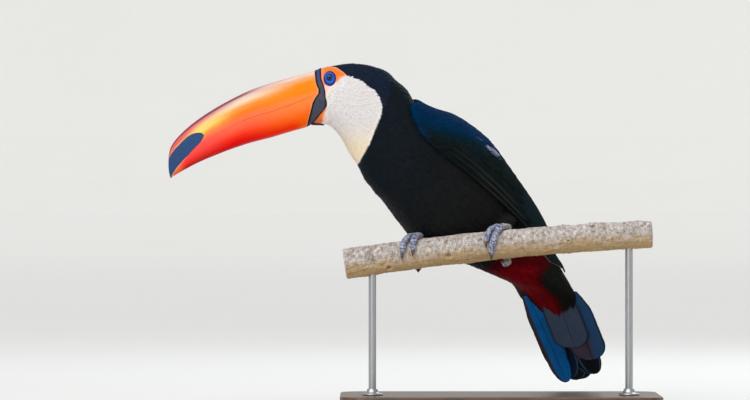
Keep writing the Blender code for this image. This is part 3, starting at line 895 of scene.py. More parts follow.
def wingSurface(sign, plan=wing, liftOf=shellLift):
    # a runs 0 to 10 along the wing and b 0 to 100 across it; the shell's outer height over the body is lift +
    # 0.8 + (1 - v^3) ((thick - 0.8) (0.17 + 0.83 full) thin + a bell at the shoulder, lower near the back)
    def at(a, b, lift=0.0):
        w, v = np.asarray(a, float) / 10, np.asarray(b, float) / 100
        full = np.sqrt(1 - np.clip(1 - w / 0.245, 0, 1) ** 2)
        degrees = plan["upper"] + (plan["lower"] - plan["upper"]) * wingNarrow(w) * v
        front = wingFront(v, plan)
        s = front + (plan["to"] - front) * w
        thin = (1 - 0.8 * np.clip(w, 0, 1)) * (1 - 0.5 * smooth(0.1, 0.5, w))
        shoulder = plan["shoulder"] * bell(w - 0.076, 0.061) * (0.25 + 0.75 * smooth(-0.05, 0.4, v))
        bulge = (plan["thick"] - 0.8) * (0.17 + 0.83 * full) * thin + shoulder
        return bodySurface(s, sign * degrees, liftOf(w) + 0.8 + (1 - np.clip(v, 0, 1) ** 3) * bulge + lift)

    return at


wingRows = {
    # from and to along the wing, step, length, width, step across in per cent, across from and to, tips' lift
    "lesser": (0.0, 3.5, 0.125, 9.0, 6.2, 4.6, 0, 100, 0.1),
    "median": (3.2, 4.6, 0.36, 19.0, 10.0, 8.0, 30, 100, 0.25),
    "greater": (4.7, 5.3, 0.5, 34.0, 12.5, 8.4, 34, 98, 0.45),
    "scapular": (1.6, 6.4, 0.38, 24.0, 13.0, 7.5, 0, 40, 0.4),
}
smallFeather = vaneShape(5, 5, root=0.55, full=0.35, turnIn=0.55, cup=0.35, tip=0.5, lean=0.2)
largeFeather = vaneShape(7, 7, root=0.5, full=0.3, turnIn=0.66, cup=0.28, tip=0.4, lean=0.14, quill=0.04)
longFeather = vaneShape(20, 11, root=0.6, full=0.2, turnIn=0.8, cup=0.2, tip=0.16, lean=0.04, quill=0.05)
secondaries = {"count": 11, "root": 5.0, "length": (78, 96), "width": 15.0}
margins = {"count": 3, "length": 23.5, "width": 5.6, "edge": (2.4, 2.0, 0.5)}
primaries = {"count": 8, "root": 2.6, "width": 12.5, "stepAcross": 3.2, "tip": (7.5, 9.55)}
quillThick = 0.3
wingTints = {
    # how far across the wing the blue of the painted sky sheen reaches, by the place along it, and how soft its
    # edge is
    "blueAlong": (0, 1, 2.3, 3.5, 4.3, 5.2, 6.4, 7.5, 10),
    "blueAcross": (74, 66, 62, 54, 36, 10, -14, -30, -40),
    "soft": 19, "blue": ((0, 38, 84), (2, 56, 112)), "teal": (4, 36, 46),
    "dark": ((15, 21, 22), (24, 32, 33)),
    # the glint tint is the colour of a painted highlight on the wing
    "front": (2, 38, 56), "quill": (33, 37, 37), "glint": (196, 206, 240),
}


# the painted sky sheen on the black feathers, blue along the wing's top and its front edge
def wingSheen(a, b):  # one along the top of the wing and on its front edge, nothing low down and behind
    reach = np.interp(a, wingTints["blueAlong"], wingTints["blueAcross"])
    top = smooth(wingTints["soft"], -wingTints["soft"], b - reach) * (1 - 0.4 * smooth(1.0, 4.2, a))
    return np.maximum(top, 0.65 * bell(a, 0.25) * smooth(96, 76, b))


def wingTeal(a, b):  # a greener dark lobe in front
    return smooth(5.2, 2.6, a + 0.01 * b) * smooth(92, 66, b + 4 * a)


def wingPaint(name, edge, edgeShare, covert=False):
    # dark feathers, greener in front, turning blue with a painted sky sheen as the mesh says, each with a pale
    # rim and a rib
    paint = Paint(name)
    along, across, barb, seed, blue, teal, edged = paint.values("along across barb seed blue teal edge")
    fine = paint.noise(paint.vector(barb * 0.7, across * 3, seed * 50), 2.2, 2)
    patch = paint.noise(paint.place(), 0.045, 2)
    dark = paint.mix(seed * 0.8, *wingTints["dark"])
    # the quills are painted paler than the coverts, as painted light lifting the shade on their downward-facing
    # sides
    if not covert:  # the quills are paler than the coverts
        dark = paint.mix(0.5, dark, wingTints["quill"])
    dark = paint.mix(teal * 0.9, dark, wingTints["teal"])
    # the painted sky sheen's blue, greener in front
    sheenTint = paint.mix(seed * 0.5 + (patch - 0.5), *wingTints["blue"])
    sheenTint = paint.mix(teal * 0.6, sheenTint, wingTints["front"])
    base = paint.mix((blue + (patch - 0.5) * 0.3 + (fine - 0.5) * 0.15).between(0.05, 0.95), dark, sheenTint)
    # a small pale painted highlight where the feathers turn over the top
    if covert:  # a small pale sheen where the feathers turn over the top
        sheen = paint.value("glint") * fine.between(0.42, 0.58) * along.between(0.35, 0.6)
        base = paint.mix(sheen, base, wingTints["glint"])
    rim = across.between(edgeShare - 0.1, edgeShare + 0.06)
    base = paint.mix(rim * along.between(0.2, 0.5) * edged, base, edge)
    rib = abs(across).between(0.07, 0.02)
    bump = paint.bump(fine * 0.6 + rib * 0.6, 0.25, 0.2)
    rough = 0.6 + (fine - 0.5) * 0.15
    return paint.finish(Base_Color=base, Roughness=rough, Normal=bump, Specular_IOR_Level=0.008)


def backMap(a, b):  # the unwrap of the feathers between the wings
    return 0.5 + 0 * a + b / 4000, 0.43 + a / 10 * 0.46


def wingMap(sign, across=(0.02, 0.2), along=(0.43, 0.46)):  # the unwrap of a wing's feathers
    return lambda a, b: (0.5 + sign * (across[0] + b / 100 * across[1]), along[0] + a / 10 * along[1])


def quillPiece(name, surface, paint, a, b, length, heading, width, low, high, uvOf, seed, replaces=(), **tones):
    # long feathers as thin plates
    laid = layFeathers(surface, a, b, length, heading, width, longFeather, low, high, uvOf, seed, close=True)
    thicken(featherPiece(name, addValues(laid, **tones), paint, replaces), quillThick)


def layBack(rng, covert, quill):
    # feathers of the back lie over the gap between the wings, at b = middle, and tertials over its end
    surface, middle = wingSurface(1), -100 * wing["upper"] / (wing["lower"] - wing["upper"])
    across = middle + np.array([-11.0, -5.5, 0, 5.5, 11.0])
    a, b = np.meshgrid(np.arange(-0.1, 6.6, 0.3), across, indexing="ij")
    b = b + np.where(np.arange(len(a)) % 2, 2.7, 0)[:, None]
    a, b = a.ravel() + rng.uniform(-0.08, 0.08, a.size), b.ravel() + rng.uniform(-1, 1, a.size)
    long = 14 + 12 * smooth(0, 3, a)
    sunk = 2.2 * smooth(1.6, 0, a)
    laid = layFeathers(
        surface, a, b, long, rng.uniform(-5, 5, len(a)), 12.0, largeFeather,
        -0.5 - sunk, 0.75 - 0.05 * np.abs(b - middle) - sunk, backMap, 48, close=True,
    )
    # blue is the painted sky sheen
    addValues(laid, blue=wingSheen(a, 0 * a), teal=wingTeal(a, b), edge=0.03, glint=0)
    featherPiece("back_mantle", laid, covert)
    order = np.arange(6)
    # the tertials take a little painted sky sheen
    quillPiece(
        "back_tertials", surface, quill, 5.0 + 0.12 * order, middle + np.array([-9, 9, -5.5, 5.5, -2, 2.0]),
        np.array([66, 66, 58, 58, 50, 52]), np.array([1, -1, 1, -1, 1, -1]) * 1.5, 17.0,
        -0.3 + 0.06 * order, 0.3 + 0.12 * order, backMap, 49, blue=0.15, teal=0.3, edge=0.1,
    )


def layWingShell(side, sign, paint):
    # the shell under the coverts, from the body's surface up to a little under the feathers
    surface = wingSurface(sign)
    w, v = np.linspace(0, 0.93, 70)[:, None], np.linspace(0, 1, 34)[None, :]
    drop = 1.0 + 1.2 * smooth(0.7, 0.93, w) + 1.4 * smooth(0.12, 0, w) * smooth(0.15, 0, v)
    outer = surface(10 * w, 100 * v, -drop)
    front = wingFront(v, wing)
    degrees = sign * (wing["upper"] + (wing["lower"] - wing["upper"]) * wingNarrow(w) * v)
    inner = bodySurface(front + (wing["to"] - front) * w, degrees, shellLift(w) - 0.6 + 0 * v)
    points, faces = closedTube(np.concatenate([outer, inner[:, ::-1]], 1))
    grids = (10 * w + 0 * v, 100 * v + 0 * w)
    a, b = (np.concatenate([np.concatenate([grid, grid[:, ::-1]], 1).ravel(), [5, 5]]) for grid in grids)
    zero = np.zeros(len(points))
    values = {key: zero for key in ("along", "seed", "edge", "glint")}
    # blue is the painted sky sheen
    values.update(across=zero + 0.5, barb=points[:, 0], blue=wingSheen(a, b), teal=wingTeal(a, b))
    pieceOf("wing_under_" + side, (points, faces), paint, (), values)


def layCoverts(side, sign, paint, rng):
    # rows of small feathers, each row a kind; a pale painted highlight falls on some of those near one place up
    # there
    surface = wingSurface(sign)
    sets = []
    for number, (kind, (start, end, step, length, width, gap, low, high, lift)) in enumerate(wingRows.items()):
        places = []
        for i, a in enumerate(np.arange(start, end, step)):
            b = np.arange(low + gap * (0.25 + 0.5 * (i % 2)), high, gap)
            places.append(np.stack([np.full(len(b), a), b], -1))
        places = np.concatenate(places)
        places[:, 0] += rng.uniform(-0.3, 0.3, len(places)) * step
        places[:, 1] += rng.uniform(-0.15, 0.15, len(places)) * gap
        a, b = places.T
        long = length * rng.uniform(0.92, 1.08, len(a)) * (0.75 + 0.25 * smooth(0, 2, a))
        heading = rng.uniform(-4, 4, len(a))
        lesser = kind == "lesser"
        laid = layFeathers(
            surface, a, b, long, heading, width * (0.8 + 0.2 * smooth(0, 2, a)),
            smallFeather if lesser else largeFeather, -0.9, lift + rng.uniform(-0.05, 0.07, len(a)),
            wingMap(sign), 50 + number, close=not lesser,
        )
        # which feathers take the painted highlight
        pale = rng.uniform(size=len(a)) < 0.45 + 0.35 * sign
        glint = np.where(pale, bell(a - 3.75, 0.32) * bell(b - 42.5, 5.0), 0)
        edge = np.where((b > 72) & (a > 2.5), 0.5, 0.06)
        # blue is the painted sky sheen
        sets.append(addValues(laid, blue=wingSheen(a, b), teal=wingTeal(a, b), edge=edge, glint=glint))
    laid = together(sets)
    featherPiece("wing_coverts_" + side, laid, paint, ("wing_" + side,))
    report("wing %s: %d covert triangles" % (side, 2 * len(laid["faces"])))


def layWings():
    # both wings: shell, coverts, then the long feathers, each row over the one below it
    rng = np.random.default_rng(31)
    covert = wingPaint("wingCovert", (74, 60, 50), 0.9, True)
    quill = wingPaint("wingQuill", (112, 92, 80), 0.8)
    margin = wingPaint("wingMargin", (72, 65, 60), 0.72)
    layBack(rng, covert, quill)
    for side, sign in (("left", 1), ("right", -1)):
        layWingShell(side, sign, covert)
        layCoverts(side, sign, covert, rng)
        surface = wingSurface(sign)
        # secondaries from the lowest, each over the one below it
        count = secondaries["count"]
        order = np.arange(count)
        b = 92 - order * (84 / (count - 1)) * 0.98
        # the secondaries take a little painted sky sheen, less lower down
        quillPiece(
            "wing_secondaries_" + side, surface, quill, secondaries["root"] + 0.04 * order, b,
            np.linspace(*secondaries["length"], count), 0.0, secondaries["width"],
            -0.6 + 0.03 * order, -0.25 + 0.1 * order, wingMap(sign), 60,
            blue=np.clip(0.3 - 0.006 * b, 0, 1), teal=0.35, edge=0.12 + 0.5 * (b > 80),
        )
        # long narrow quills along the lower edge, each with a pale brown margin
        order = np.arange(margins["count"])
        a = 0.5 + 0.6 * order
        quillPiece(
            "wing_margins_" + side, surface, margin, a, 99.0 - 6.5 * order, (5.8 - a) * margins["length"],
            0.0, margins["width"], 0.3, 1.5 - 0.1 * order, wingMap(sign), 62,
            blue=0, teal=0, edge=margins["edge"],
        )
        # primaries lie on the blade, the outermost lowest and shortest
        surface = wingSurface(sign, blade, bladeLift)
        count = primaries["count"]
        order = np.arange(count)
        a = np.full(count, primaries["root"]) + 0.05 * order
        b = 100 - 12 - primaries["stepAcross"] * order
        quillPiece(
            "wing_primaries_" + side, surface, quill, a, b,
            (np.linspace(*primaries["tip"], count) - a) * perUnit(surface, a, b), 0.0, primaries["width"],
            -1.0 + 0.04 * order, -1.1 + 0.2 * order, wingMap(sign, (0.06, 0.17), (0.57, 0.4)), 61,
            ("flight_feathers_" + side,), blue=0, teal=0.2, edge=1.0 - 0.06 * order,
        )


tail = {
    # length, aside at the root and at the tip, width, then the colours of the vanes on the -X and +X sides
    "left_1": (111, 0, -2, 34, "dark", "dark"),
    "right_1": (110, -5, -8, 34, "dark", "dark"),
    "left_2": (106, 6, 11, 34, "dark", "dark"),
    "right_2": (105, -12, -14, 32, "dark", "navy"),
    "right_5": (67, -17, -18, 26, "navy", "navy"),
    "right_4": (89, -18, -19, 26, "navy", "blue"),
    "right_3": (106, -20, -18.5, 22, "blue", "blue"),
    "left_3": (103, 17, 16, 27, "dark", "dark"),
    "left_4": (84.5, 22.5, 20.5, 42, "mauve", "slate"),
    "left_5": (65, 10, 7.5, 41, "grey", "grey"),
}
tailForm = {"camber": 0.0024, "layer": 1.25, "thick": 0.55, "gap": 0.4, "aside": (0.904, -0.372, 0.213)}
# navy, blue and slate are a painted sky sheen on black feathers
tailTints = {
    "dark": ((6, 12, 20), (14, 26, 36)), "navy": ((6, 24, 48), (10, 38, 68)),
    "blue": ((2, 84, 150), (6, 108, 180)),
    "grey": ((58, 74, 98), (68, 80, 102)), "slate": ((34, 76, 122), (46, 76, 112)),
    "mauve": ((74, 60, 76), (60, 62, 82)),
}


def tailPaint(name, first, second):
    # two vanes in their colours, the blue tints being a painted sheen, an edge and a dark quill between them
    paint = Paint(name)
    along, across, barb, seed = paint.values("along across barb seed")
    fine = paint.noise(paint.vector(barb * 0.6, across * 2, seed * 30), 2.4, 2)
    patch = paint.noise(paint.place((1, 1, 0.4)), 0.09, 3)
    shade = (patch * 0.6 + fine * 0.4).between(0.3, 0.7)
    one, two = (paint.mix(shade, *tailTints[key]) for key in (first, second))
    half = 0.22 if first == "mauve" else 0.02
    base = paint.mix((across + (fine - 0.5) * 0.1).between(half - 0.08, half + 0.08), one, two)
    # dark feathers have a faint paler line inside their dark edge, a painted highlight; a blue one has a broad
    # brown edge
    if first in ("dark", "navy"):
        line = abs(across).between(0.78, 0.84) * abs(across).between(0.94, 0.88)
        base = paint.mix(line * along.between(0.3, 0.6) * 0.8, base, (70, 104, 132))
    if first == "blue":
        base = paint.mix(across.between(-0.5, -0.8), base, (60, 50, 54))
    else:
        base = paint.mix(abs(across).between(0.84, 0.97) * 0.7, base, (8, 14, 22))
    quill = abs(across).between(0.05, 0.02)
    base = paint.mix(quill * (0.35 if first == "grey" else 0.7), base, (10, 12, 16))
    bump = paint.bump(fine * 0.7 + quill, 0.4, 0.22)
    rough = 0.5 + (fine - 0.5) * 0.2
    return paint.finish(Base_Color=base, Roughness=rough, Normal=bump, Specular_IOR_Level=0.14)


def layTail():
    # one cambered surface in layers: out = layer - camber aside^2 - 0.0003 down^2; each feather is a plate
    along, left = unit(tailAlong), unit(tailForm["aside"])
    back = np.cross(left, along)
    end = bodyStation(float(bodyEnd))
    root, pitch, yaw = end[:3], math.radians(end[3]), math.radians(end[4])
    outOfEnd = np.array([math.cos(pitch) * math.cos(yaw), math.cos(pitch) * math.sin(yaw), -math.sin(pitch)])
    rows, columns = 70, 31
    u = np.linspace(0, 1, rows)[:, None] ** 0.85
    v = np.linspace(-1, 1, columns)[None, :]
    v = np.sign(v) * np.abs(v) ** 1.15
    tip = np.clip((u - 0.76) / 0.24, 0, 1)
    opening = 0.58 + 0.42 * np.sin(np.clip(u / 0.36, 0, 1) * math.pi / 2)
    for number, (name, (length, rootAside, tipAside, width, first, second)) in enumerate(tail.items()):
        rng = np.random.default_rng(70 + number)
        layer = (4.5 - number) * tailForm["layer"]
        edges = np.stack([40 * u + 0 * v, 3 * np.sign(v) + 0 * u, 0 * u + 0 * v + number], -1)
        ragged = 0.35 * roughness(edges, 1.0, number) * np.abs(v) ** 6
        half = width / 2 * opening * np.sqrt(1 - 0.985 * tip**2.2) - np.maximum(0, ragged)
        aside = rootAside + (tipAside - rootAside) * u + half * v
        lean = aside[:1] * (left @ outOfEnd) + (layer - tailForm["camber"] * aside[:1] ** 2) * (back @ outOfEnd)
        start = (tailForm["gap"] - lean) / (along @ outOfEnd) - 6.0
        down = start + (length - 0.5 - start) * u
        shaft = 0.3 * bell(v, 0.05) * (1 - 0.7 * u)
        wave = 0.16 * np.sin(u * 9 + number * 2.3) * v + shaft - 0.5 * np.abs(v) ** 3 * u
        faces = []
        for deep, share in ((0, 1), (tailForm["thick"], 0.8)):
            out = layer - deep - tailForm["camber"] * aside**2 - 0.0003 * down**2 + wave * share * 0.8
            faces.append(root + down[..., None] * along + aside[..., None] * left + out[..., None] * back)
        rings = np.concatenate([faces[0], faces[1][:, ::-1]], 1)
        shape = closedTube(rings)
        both, wide = (np.concatenate([grid, grid[:, ::-1]], 1) for grid in (v, half * v))
        values = onRings(rings, along=u, across=both, barb=u * length - np.abs(wide))
        values["seed"] = np.full(len(shape[0]), rng.uniform())
        paint = tailPaint("rectrix_" + name, first, second)
        pieceOf("rectrix_" + name, shape, paint, ("tail_feather_" + name,), values)
    report("tail feathers laid")


billStations = [
    # culmen x and z, lower edge x and z, share of the depth at the mouth line, half width
    (-188.9, 355.8, -198.3, 295.8, 0.45, 20),
    (-208, 350.3, -217, 291.2, 0.50, 19.5),
    (-233, 343.3, -240, 284.4, 0.53, 18.5),
    (-258.2, 335.2, -266.5, 277.4, 0.54, 17),
    (-280, 325.2, -287.5, 270, 0.56, 15),
    (-305, 311, -309, 261.4, 0.60, 12.5),
    (-326, 295.8, -325.5, 253.4, 0.69, 9.5),
    (-341.5, 280, -337.5, 246.8, 0.81, 6.5),
    (-350, 263, -345.5, 242, 0.97, 3.2),
]
bill = {
    "power": 2.5, "gap": 0.14, "rows": 230, "around": 150, "palate": 26, "collar": 16, "lip": 0.4,
    "teeth": 0.16,
    "closing": 7.35,  # the station from which the tip closes
}
billAhead = {  # how far the black band reaches ahead of the base line, by height
    "z": (290, 296, 308.4, 315, 321, 326, 330, 334.5, 338, 342.6, 348, 352.5, 358),
    "reach": (4.4, 4.4, 3.2, 2.5, 2.0, 0.0, -2.5, -1.9, 0.5, 2.5, 3.9, 5.0, 5.4),
}
tipPatch = {  # upper and lower border of the dark patch, in half depths, by station
    "from": 5.12,
    "station": (5.14, 5.18, 5.26, 5.37, 5.58, 5.81, 6.1, 6.4, 6.7, 7.0, 7.3, 7.6, 7.85, 8.0),
    "upper": (0.07, 0.13, 0.24, 0.32, 0.43, 0.51, 0.55, 0.53, 0.51, 0.53, 0.54, 0.6, 1.1, 1.4),
    "lower": (0.07, 0.0, -0.1, -0.17, -0.23, -0.3, -0.42, -0.58, -0.7, -0.85, -1.0, -1.2, -1.6, -1.8),
}
# the pale stops near the culmen are partly its cream colour and partly a painted highlight, and the darkest
# reds at the lower edge are partly painted shade
hornTints = {  # from the lower edge up to the culmen: place, red, green, blue
    "root": (
        (0.0, 240, 36, 0), (0.1, 254, 58, 0), (0.2, 252, 96, 8), (0.36, 252, 122, 50), (0.56, 248, 134, 64),
        (0.66, 244, 130, 8), (0.82, 236, 132, 0), (0.91, 226, 164, 110), (0.97, 232, 204, 200),
    ),
    "middle": (
        (0.0, 204, 0, 0), (0.09, 236, 6, 0), (0.2, 252, 44, 22), (0.33, 254, 92, 62), (0.5, 250, 114, 74),
        (0.62, 248, 120, 24), (0.73, 246, 144, 54), (0.84, 242, 208, 176), (0.94, 212, 178, 178),
    ),
    "front": (
        (0.0, 180, 10, 4), (0.1, 230, 42, 36), (0.24, 250, 70, 64), (0.42, 253, 88, 78), (0.56, 248, 146, 72),
        (0.67, 250, 210, 104), (0.79, 248, 208, 122), (0.88, 224, 146, 128), (0.96, 160, 96, 108),
    ),
}


def billPaint():
    # three ramps up the side blend along the bill; the tip's patch and the root's band lie over them
    paint = Paint("bill")
    t, g, ahead, patch, behind, mouth = paint.values("station height ahead patch behind mouth")
    long = paint.noise(paint.vector(t * 1.6, g * 16), 1.0, 3, 0.55)
    fine = paint.noise(paint.place(), 0.35, 4, 0.6)
    level = g * 0.5 + 0.5 + (long - 0.5) * 0.09
    root, middle, front = (paint.ramp(level, *stops) for stops in hornTints.values())
    where = t + (long - 0.5) * 0.8
    base = paint.mix(where.between(0.9, 3.4), root, middle)
    base = paint.mix(where.between(3.5, 5.3), base, front)
    # rose over the patch, a dusky stripe below the culmen that is painted shade of its top edge, the culmen's
    # own colour, and warmer lower edges
    keel = paint.mix(t.between(0.6, 4.2), (244, 176, 112), (184, 62, 46))
    base = paint.mix(t.between(5.0, 6.6) * g.between(0.42, 0.66) * 0.85, base, (212, 84, 88))
    # painted shade along the culmen's edge
    base = paint.mix(g.between(0.83, 0.94) * t.between(2.3, 3.7) * 0.85, base, (104, 34, 56))
    base = paint.mix(g.between(0.945, 0.985) * 0.8, base, keel)
    base = paint.mix(t.between(6.1, 7.0) * g.between(-0.3, -0.6) * 0.8, base, (246, 116, 72))
    base = paint.mix(t.between(1.1, 0.2) * g.between(-0.3, -0.75) * 0.8, base, (254, 112, 0))
    # a yellow seam under the patch
    seam = patch.between(-1.9, -0.5) * patch.between(0.2, -0.4)
    seam = seam * (0.02 - g).between(0.0, 0.25) * t.between(5.8, 7.0)
    base = paint.mix(seam * 0.55, base, (250, 196, 120))
    speck = paint.noise(paint.place(), 0.55, 1)
    base = paint.mix(speck.between(0.72, 0.78) * 0.35, base, (170, 60, 30))
    grey = paint.mix(fine * 0.9, (38, 66, 112), (56, 84, 122))
    grey = paint.mix(patch.between(1.3, 0.3) * 0.55, grey, (26, 44, 76))
    base = paint.mix((patch + (fine - 0.5) * 0.5).between(-0.35, 0.35), base, grey)
    # the black band is bluer and paler along its middle, and near-black along both edges
    band = paint.mix(paint.noise(paint.place(), 0.25, 3), (48, 52, 68), (86, 86, 96))
    band = paint.mix(g.between(0.35, 0.8) * 0.6, band, (40, 66, 136))
    band = paint.mix(ahead.between(-0.9, -3.0) * behind.between(1.0, 3.0), (20, 14, 17), band)
    base = paint.mix((ahead + (fine - 0.5) * 0.4).between(0.3, -0.3), base, band)
    base = paint.mix(ahead.between(0.9, 0.1) * ahead.between(-0.2, 0.0) * 0.5, base, (250, 196, 160))
    base = paint.mix(mouth.between(0.5, 0.1) * t.between(4.6, 2.8) * 0.3, base, (196, 80, 34))
    bump = paint.bump(long * 1.2 + fine * 0.35, 0.15, 0.5)
    rough = 0.36 + (fine - 0.5) * 0.16 + ahead.between(0.3, -0.3) * 0.12
    return paint.finish(
        Base_Color=base, Roughness=rough, Normal=bump, Specular_IOR_Level=0.06,
        Coat_Weight=0.02, Coat_Roughness=0.2,
    )


def billSide(sign):
    # by rows t along one half: middle + high half depth up + wide half width across, with high and wide on a
    # superellipse that is parted at the mouth line
    tipFrom = bill["closing"]
    t = np.concatenate([
        np.linspace(0, 1, 40)[:-1] ** 1.2,
        np.linspace(1, tipFrom, bill["rows"] - 69)[:-1],
        8 - 0.65 * np.linspace(1, 0, 31) ** 2,
    ])
    row = curveThrough(billStations)(t)
    ending = np.clip((t - tipFrom) / 0.65, 0, 1)  # the tip closes as an ellipse
    top = np.stack([row[:, 0], np.full(len(t), headMiddle), row[:, 1]], -1)
    low = np.stack([row[:, 2], np.full(len(t), headMiddle), row[:, 3]], -1)
    up = unit(top - low)
    full = np.linalg.norm(top - low, axis=-1) / 2
    half = full * np.sqrt(1 - 0.94 * ending**2)
    middle = ((top + low) / 2 - up * (0.8 * (full - half))[:, None])[:, None]
    halfWide = row[:, 5:6] * np.sqrt(1 - 0.85 * ending**2)[:, None]
    teeth = bill["teeth"] * np.sin(t * 2.6 * math.pi) * smooth(0.4, 1.2, t) * (1 - smooth(6.5, 7.6, t))
    mouth = 1 - 2 * row[:, 4] + teeth / half
    closing = 0.62 - 0.42 * smooth(3.0, 4.6, t)  # the mouth line thins out towards the tip
    edge = np.arccos(np.clip(np.sign(mouth) * np.abs(mouth) ** (bill["power"] / 2), -1, 1))
    edge = math.pi - edge if sign < 0 else edge
    share = np.linspace(-1, 1, bill["around"])
    share = np.sign(share) * (1 - (1 - np.abs(share)) ** 1.25)  # closer together at the mouth
    angle = edge[:, None] * share
    high, wide = rounded(angle, bill["power"])
    limit = (mouth + sign * bill["gap"] / 2 / half * closing)[:, None]
    height = np.maximum(high, limit) if sign > 0 else np.minimum(-high, limit)
    # rounded lips, a shallow groove along each side and slow waves
    fromMouth = np.abs(height - limit) * half[:, None]
    lip = 1 - np.sqrt(np.maximum(0, 1 - (1 - np.clip(fromMouth / bill["lip"], 0, 1)) ** 2))
    groove = 0.35 * bell(height - 0.45, 0.09) * (smooth(0.3, 1.5, t) * (1 - smooth(5.5, 7, t)))[:, None]
    spread = wide * np.maximum(halfWide - bill["lip"] * closing[:, None] * lip - groove, 0.2)
    raised = (height * half[:, None])[..., None] * up[:, None]
    outer = middle + raised + spread[..., None] * np.array([0, 1, 0])
    wave = 0.12 * roughness(outer * (0.3, 1, 0.8), 5.0, 5) + 0.05 * roughness(outer, 1.6, 6)
    outer = outer + wave[..., None] * unit(outer - middle)
    if sign > 0:  # the hooked tip of the upper half draws in under the keel
        drawn = 1 - 0.25 * (bell(angle, 0.35) * smooth(0, 1, t)[:, None])
        outer[..., 1] = headMiddle + (outer[..., 1] - headMiddle) * drawn
    return t, half, angle[0], height, fromMouth, outer


def billCollar(angle, sign):
    # the rear rows run on over the face: the body's surface from station 0 to the band's rear edge; with it
    # comes how many millimetres each of its points is ahead of that edge
    back = math.degrees(1) * np.abs(angle)
    back = back if sign > 0 else 180 - back
    run, rear = np.linspace(1, 0, bill["collar"])[:, None], bandEdge(back)[None, :]
    lift = 0.4 * np.sqrt(np.clip((1 - run) / 0.12, 0, 1)) - 0.9 * (run > 0.999)
    return bodySurface(run * rear, -np.sign(angle) * back, lift), (1 - run) * rear * perStation


def billValues(sign, rings, t, half, height, fromMouth, behind):
    # what the paint reads: the station, the height in half depths, and millimetres from the band's edges, the
    # dark patch and the mouth line
    before, under = bill["collar"] - 1, bill["palate"]

    def withPalate(grid, value):
        return np.concatenate([grid, np.full((len(rings), under), value)], 1)

    station = np.concatenate([-0.02 * np.linspace(before, 1, before), t])
    station = np.repeat(station[:, None], rings.shape[1], 1)
    levels = np.concatenate([np.repeat(height[:1], before, 0), height])
    levels = np.concatenate([levels, np.repeat(levels[:, :1], under, 1)], 1)
    topX, topZ, lowX, lowZ = billStations[0][:4]
    x, z = rings[..., 0], rings[..., 2]
    line = topX + (lowX - topX) * (topZ - z) / (topZ - lowZ)
    ahead = (line - x) - np.interp(z, billAhead["z"], billAhead["reach"])
    mouth = withPalate(np.concatenate([np.full_like(fromMouth[:before], 9.0), fromMouth]), 0)
    if sign > 0:
        above = np.interp(station, tipPatch["station"], tipPatch["upper"]) - levels
        below = levels - np.interp(station, tipPatch["station"], tipPatch["lower"])
        inside = np.minimum(above, below) * np.interp(station, t, half)
        patch = np.minimum(inside, (station - tipPatch["from"]) * 18)
    else:
        patch = -mouth - 9 * (station < 5.5)
    behind = withPalate(np.concatenate([behind, behind[-1:] + 20 * t[1:, None]]), 9.0)
    marked = {"ahead": ahead, "patch": patch, "mouth": mouth, "behind": behind}
    return {"station": station, "height": levels, **marked}


def makeBill():
    # two halves, each of a collar over the face, the horn's side, and a palate that closes it, a little hollow
    paint = billPaint()
    for name, sign in (("upper", 1), ("lower", -1)):
        t, half, angle, height, fromMouth, outer = billSide(sign)
        collar, behind = billCollar(angle, sign)
        outer = outer - (outer[0] - collar[-1])[None] * np.exp(-t * 5)[:, None, None]
        outer = np.concatenate([collar[:-1], outer])
        first, last = outer[:, -1:], outer[:, :1]
        walk = np.linspace(0, 1, bill["palate"] + 2)[None, 1:-1, None]
        hollow = np.concatenate([np.zeros(len(collar) - 1), smooth(0, 1, t) * np.minimum(2.5, half * 0.3)])
        sink = hollow[:, None] * np.sin(math.pi * walk[..., 0])
        palate = first + (last - first) * walk + sign * sink[..., None] * np.array([0, 0, 1.0])
        rings = np.concatenate([outer, palate], 1)
        values = onRings(rings, **billValues(sign, rings, t, half, height, fromMouth, behind))
        points, faces = closedTube(rings)
        pieceOf("bill_half_" + name, (points, faces), paint, ("bill_" + name,), values)
        report("bill %s half: %d triangles" % (name, 2 * len(faces[0])))


def makeEyes():
    # a globe about an axis that looks sideways and a little ahead, with the cornea's low dome over the iris
    paint = Paint("eye")
    out, spoke = paint.values("out turn")
    streak = paint.noise(paint.vector(spoke * 6, out * 2), 3.0, 2)
    base = paint.ramp(
        out + (streak - 0.5) * 0.05, (0.0, 3, 3, 5), (0.2, 4, 4, 6), (0.25, 44, 28, 26), (0.31, 20, 16, 34),
        (0.37, 10, 44, 120), (0.45, 22, 84, 160), (0.53, 12, 40, 110), (0.66, 8, 10, 30),
    )
    globe = paint.finish(
        Base_Color=base, Roughness=0.3, Specular_IOR_Level=0.1, Coat_Weight=0.4, Coat_Roughness=0.02
    )
    polar, turn = np.linspace(0.02, math.pi - 0.02, 64)[:, None], turns(72)[None, :]
    radius = eye["radius"] - 0.12 + 0.22 * bell(polar, 0.45)
    for side, sign in (("left", 1), ("right", -1)):
        axis = unit(np.array([-0.13, -sign, 0.05]))
        across = unit(np.cross(axis, (0, 0, 1)))
        up = np.cross(across, axis)
        ahead = np.cos(polar)[..., None] * axis
        aside = (np.sin(polar) * np.cos(turn))[..., None] * across
        above = (np.sin(polar) * np.sin(turn))[..., None] * up
        rings = eyeCentre(sign) + radius[..., None] * (ahead + aside + above)
        values = onRings(rings, out=polar, turn=np.sin(turn * 3))
        pieceOf("eye_globe_" + side, closedTube(rings), globe, ("eye_" + side,), values)


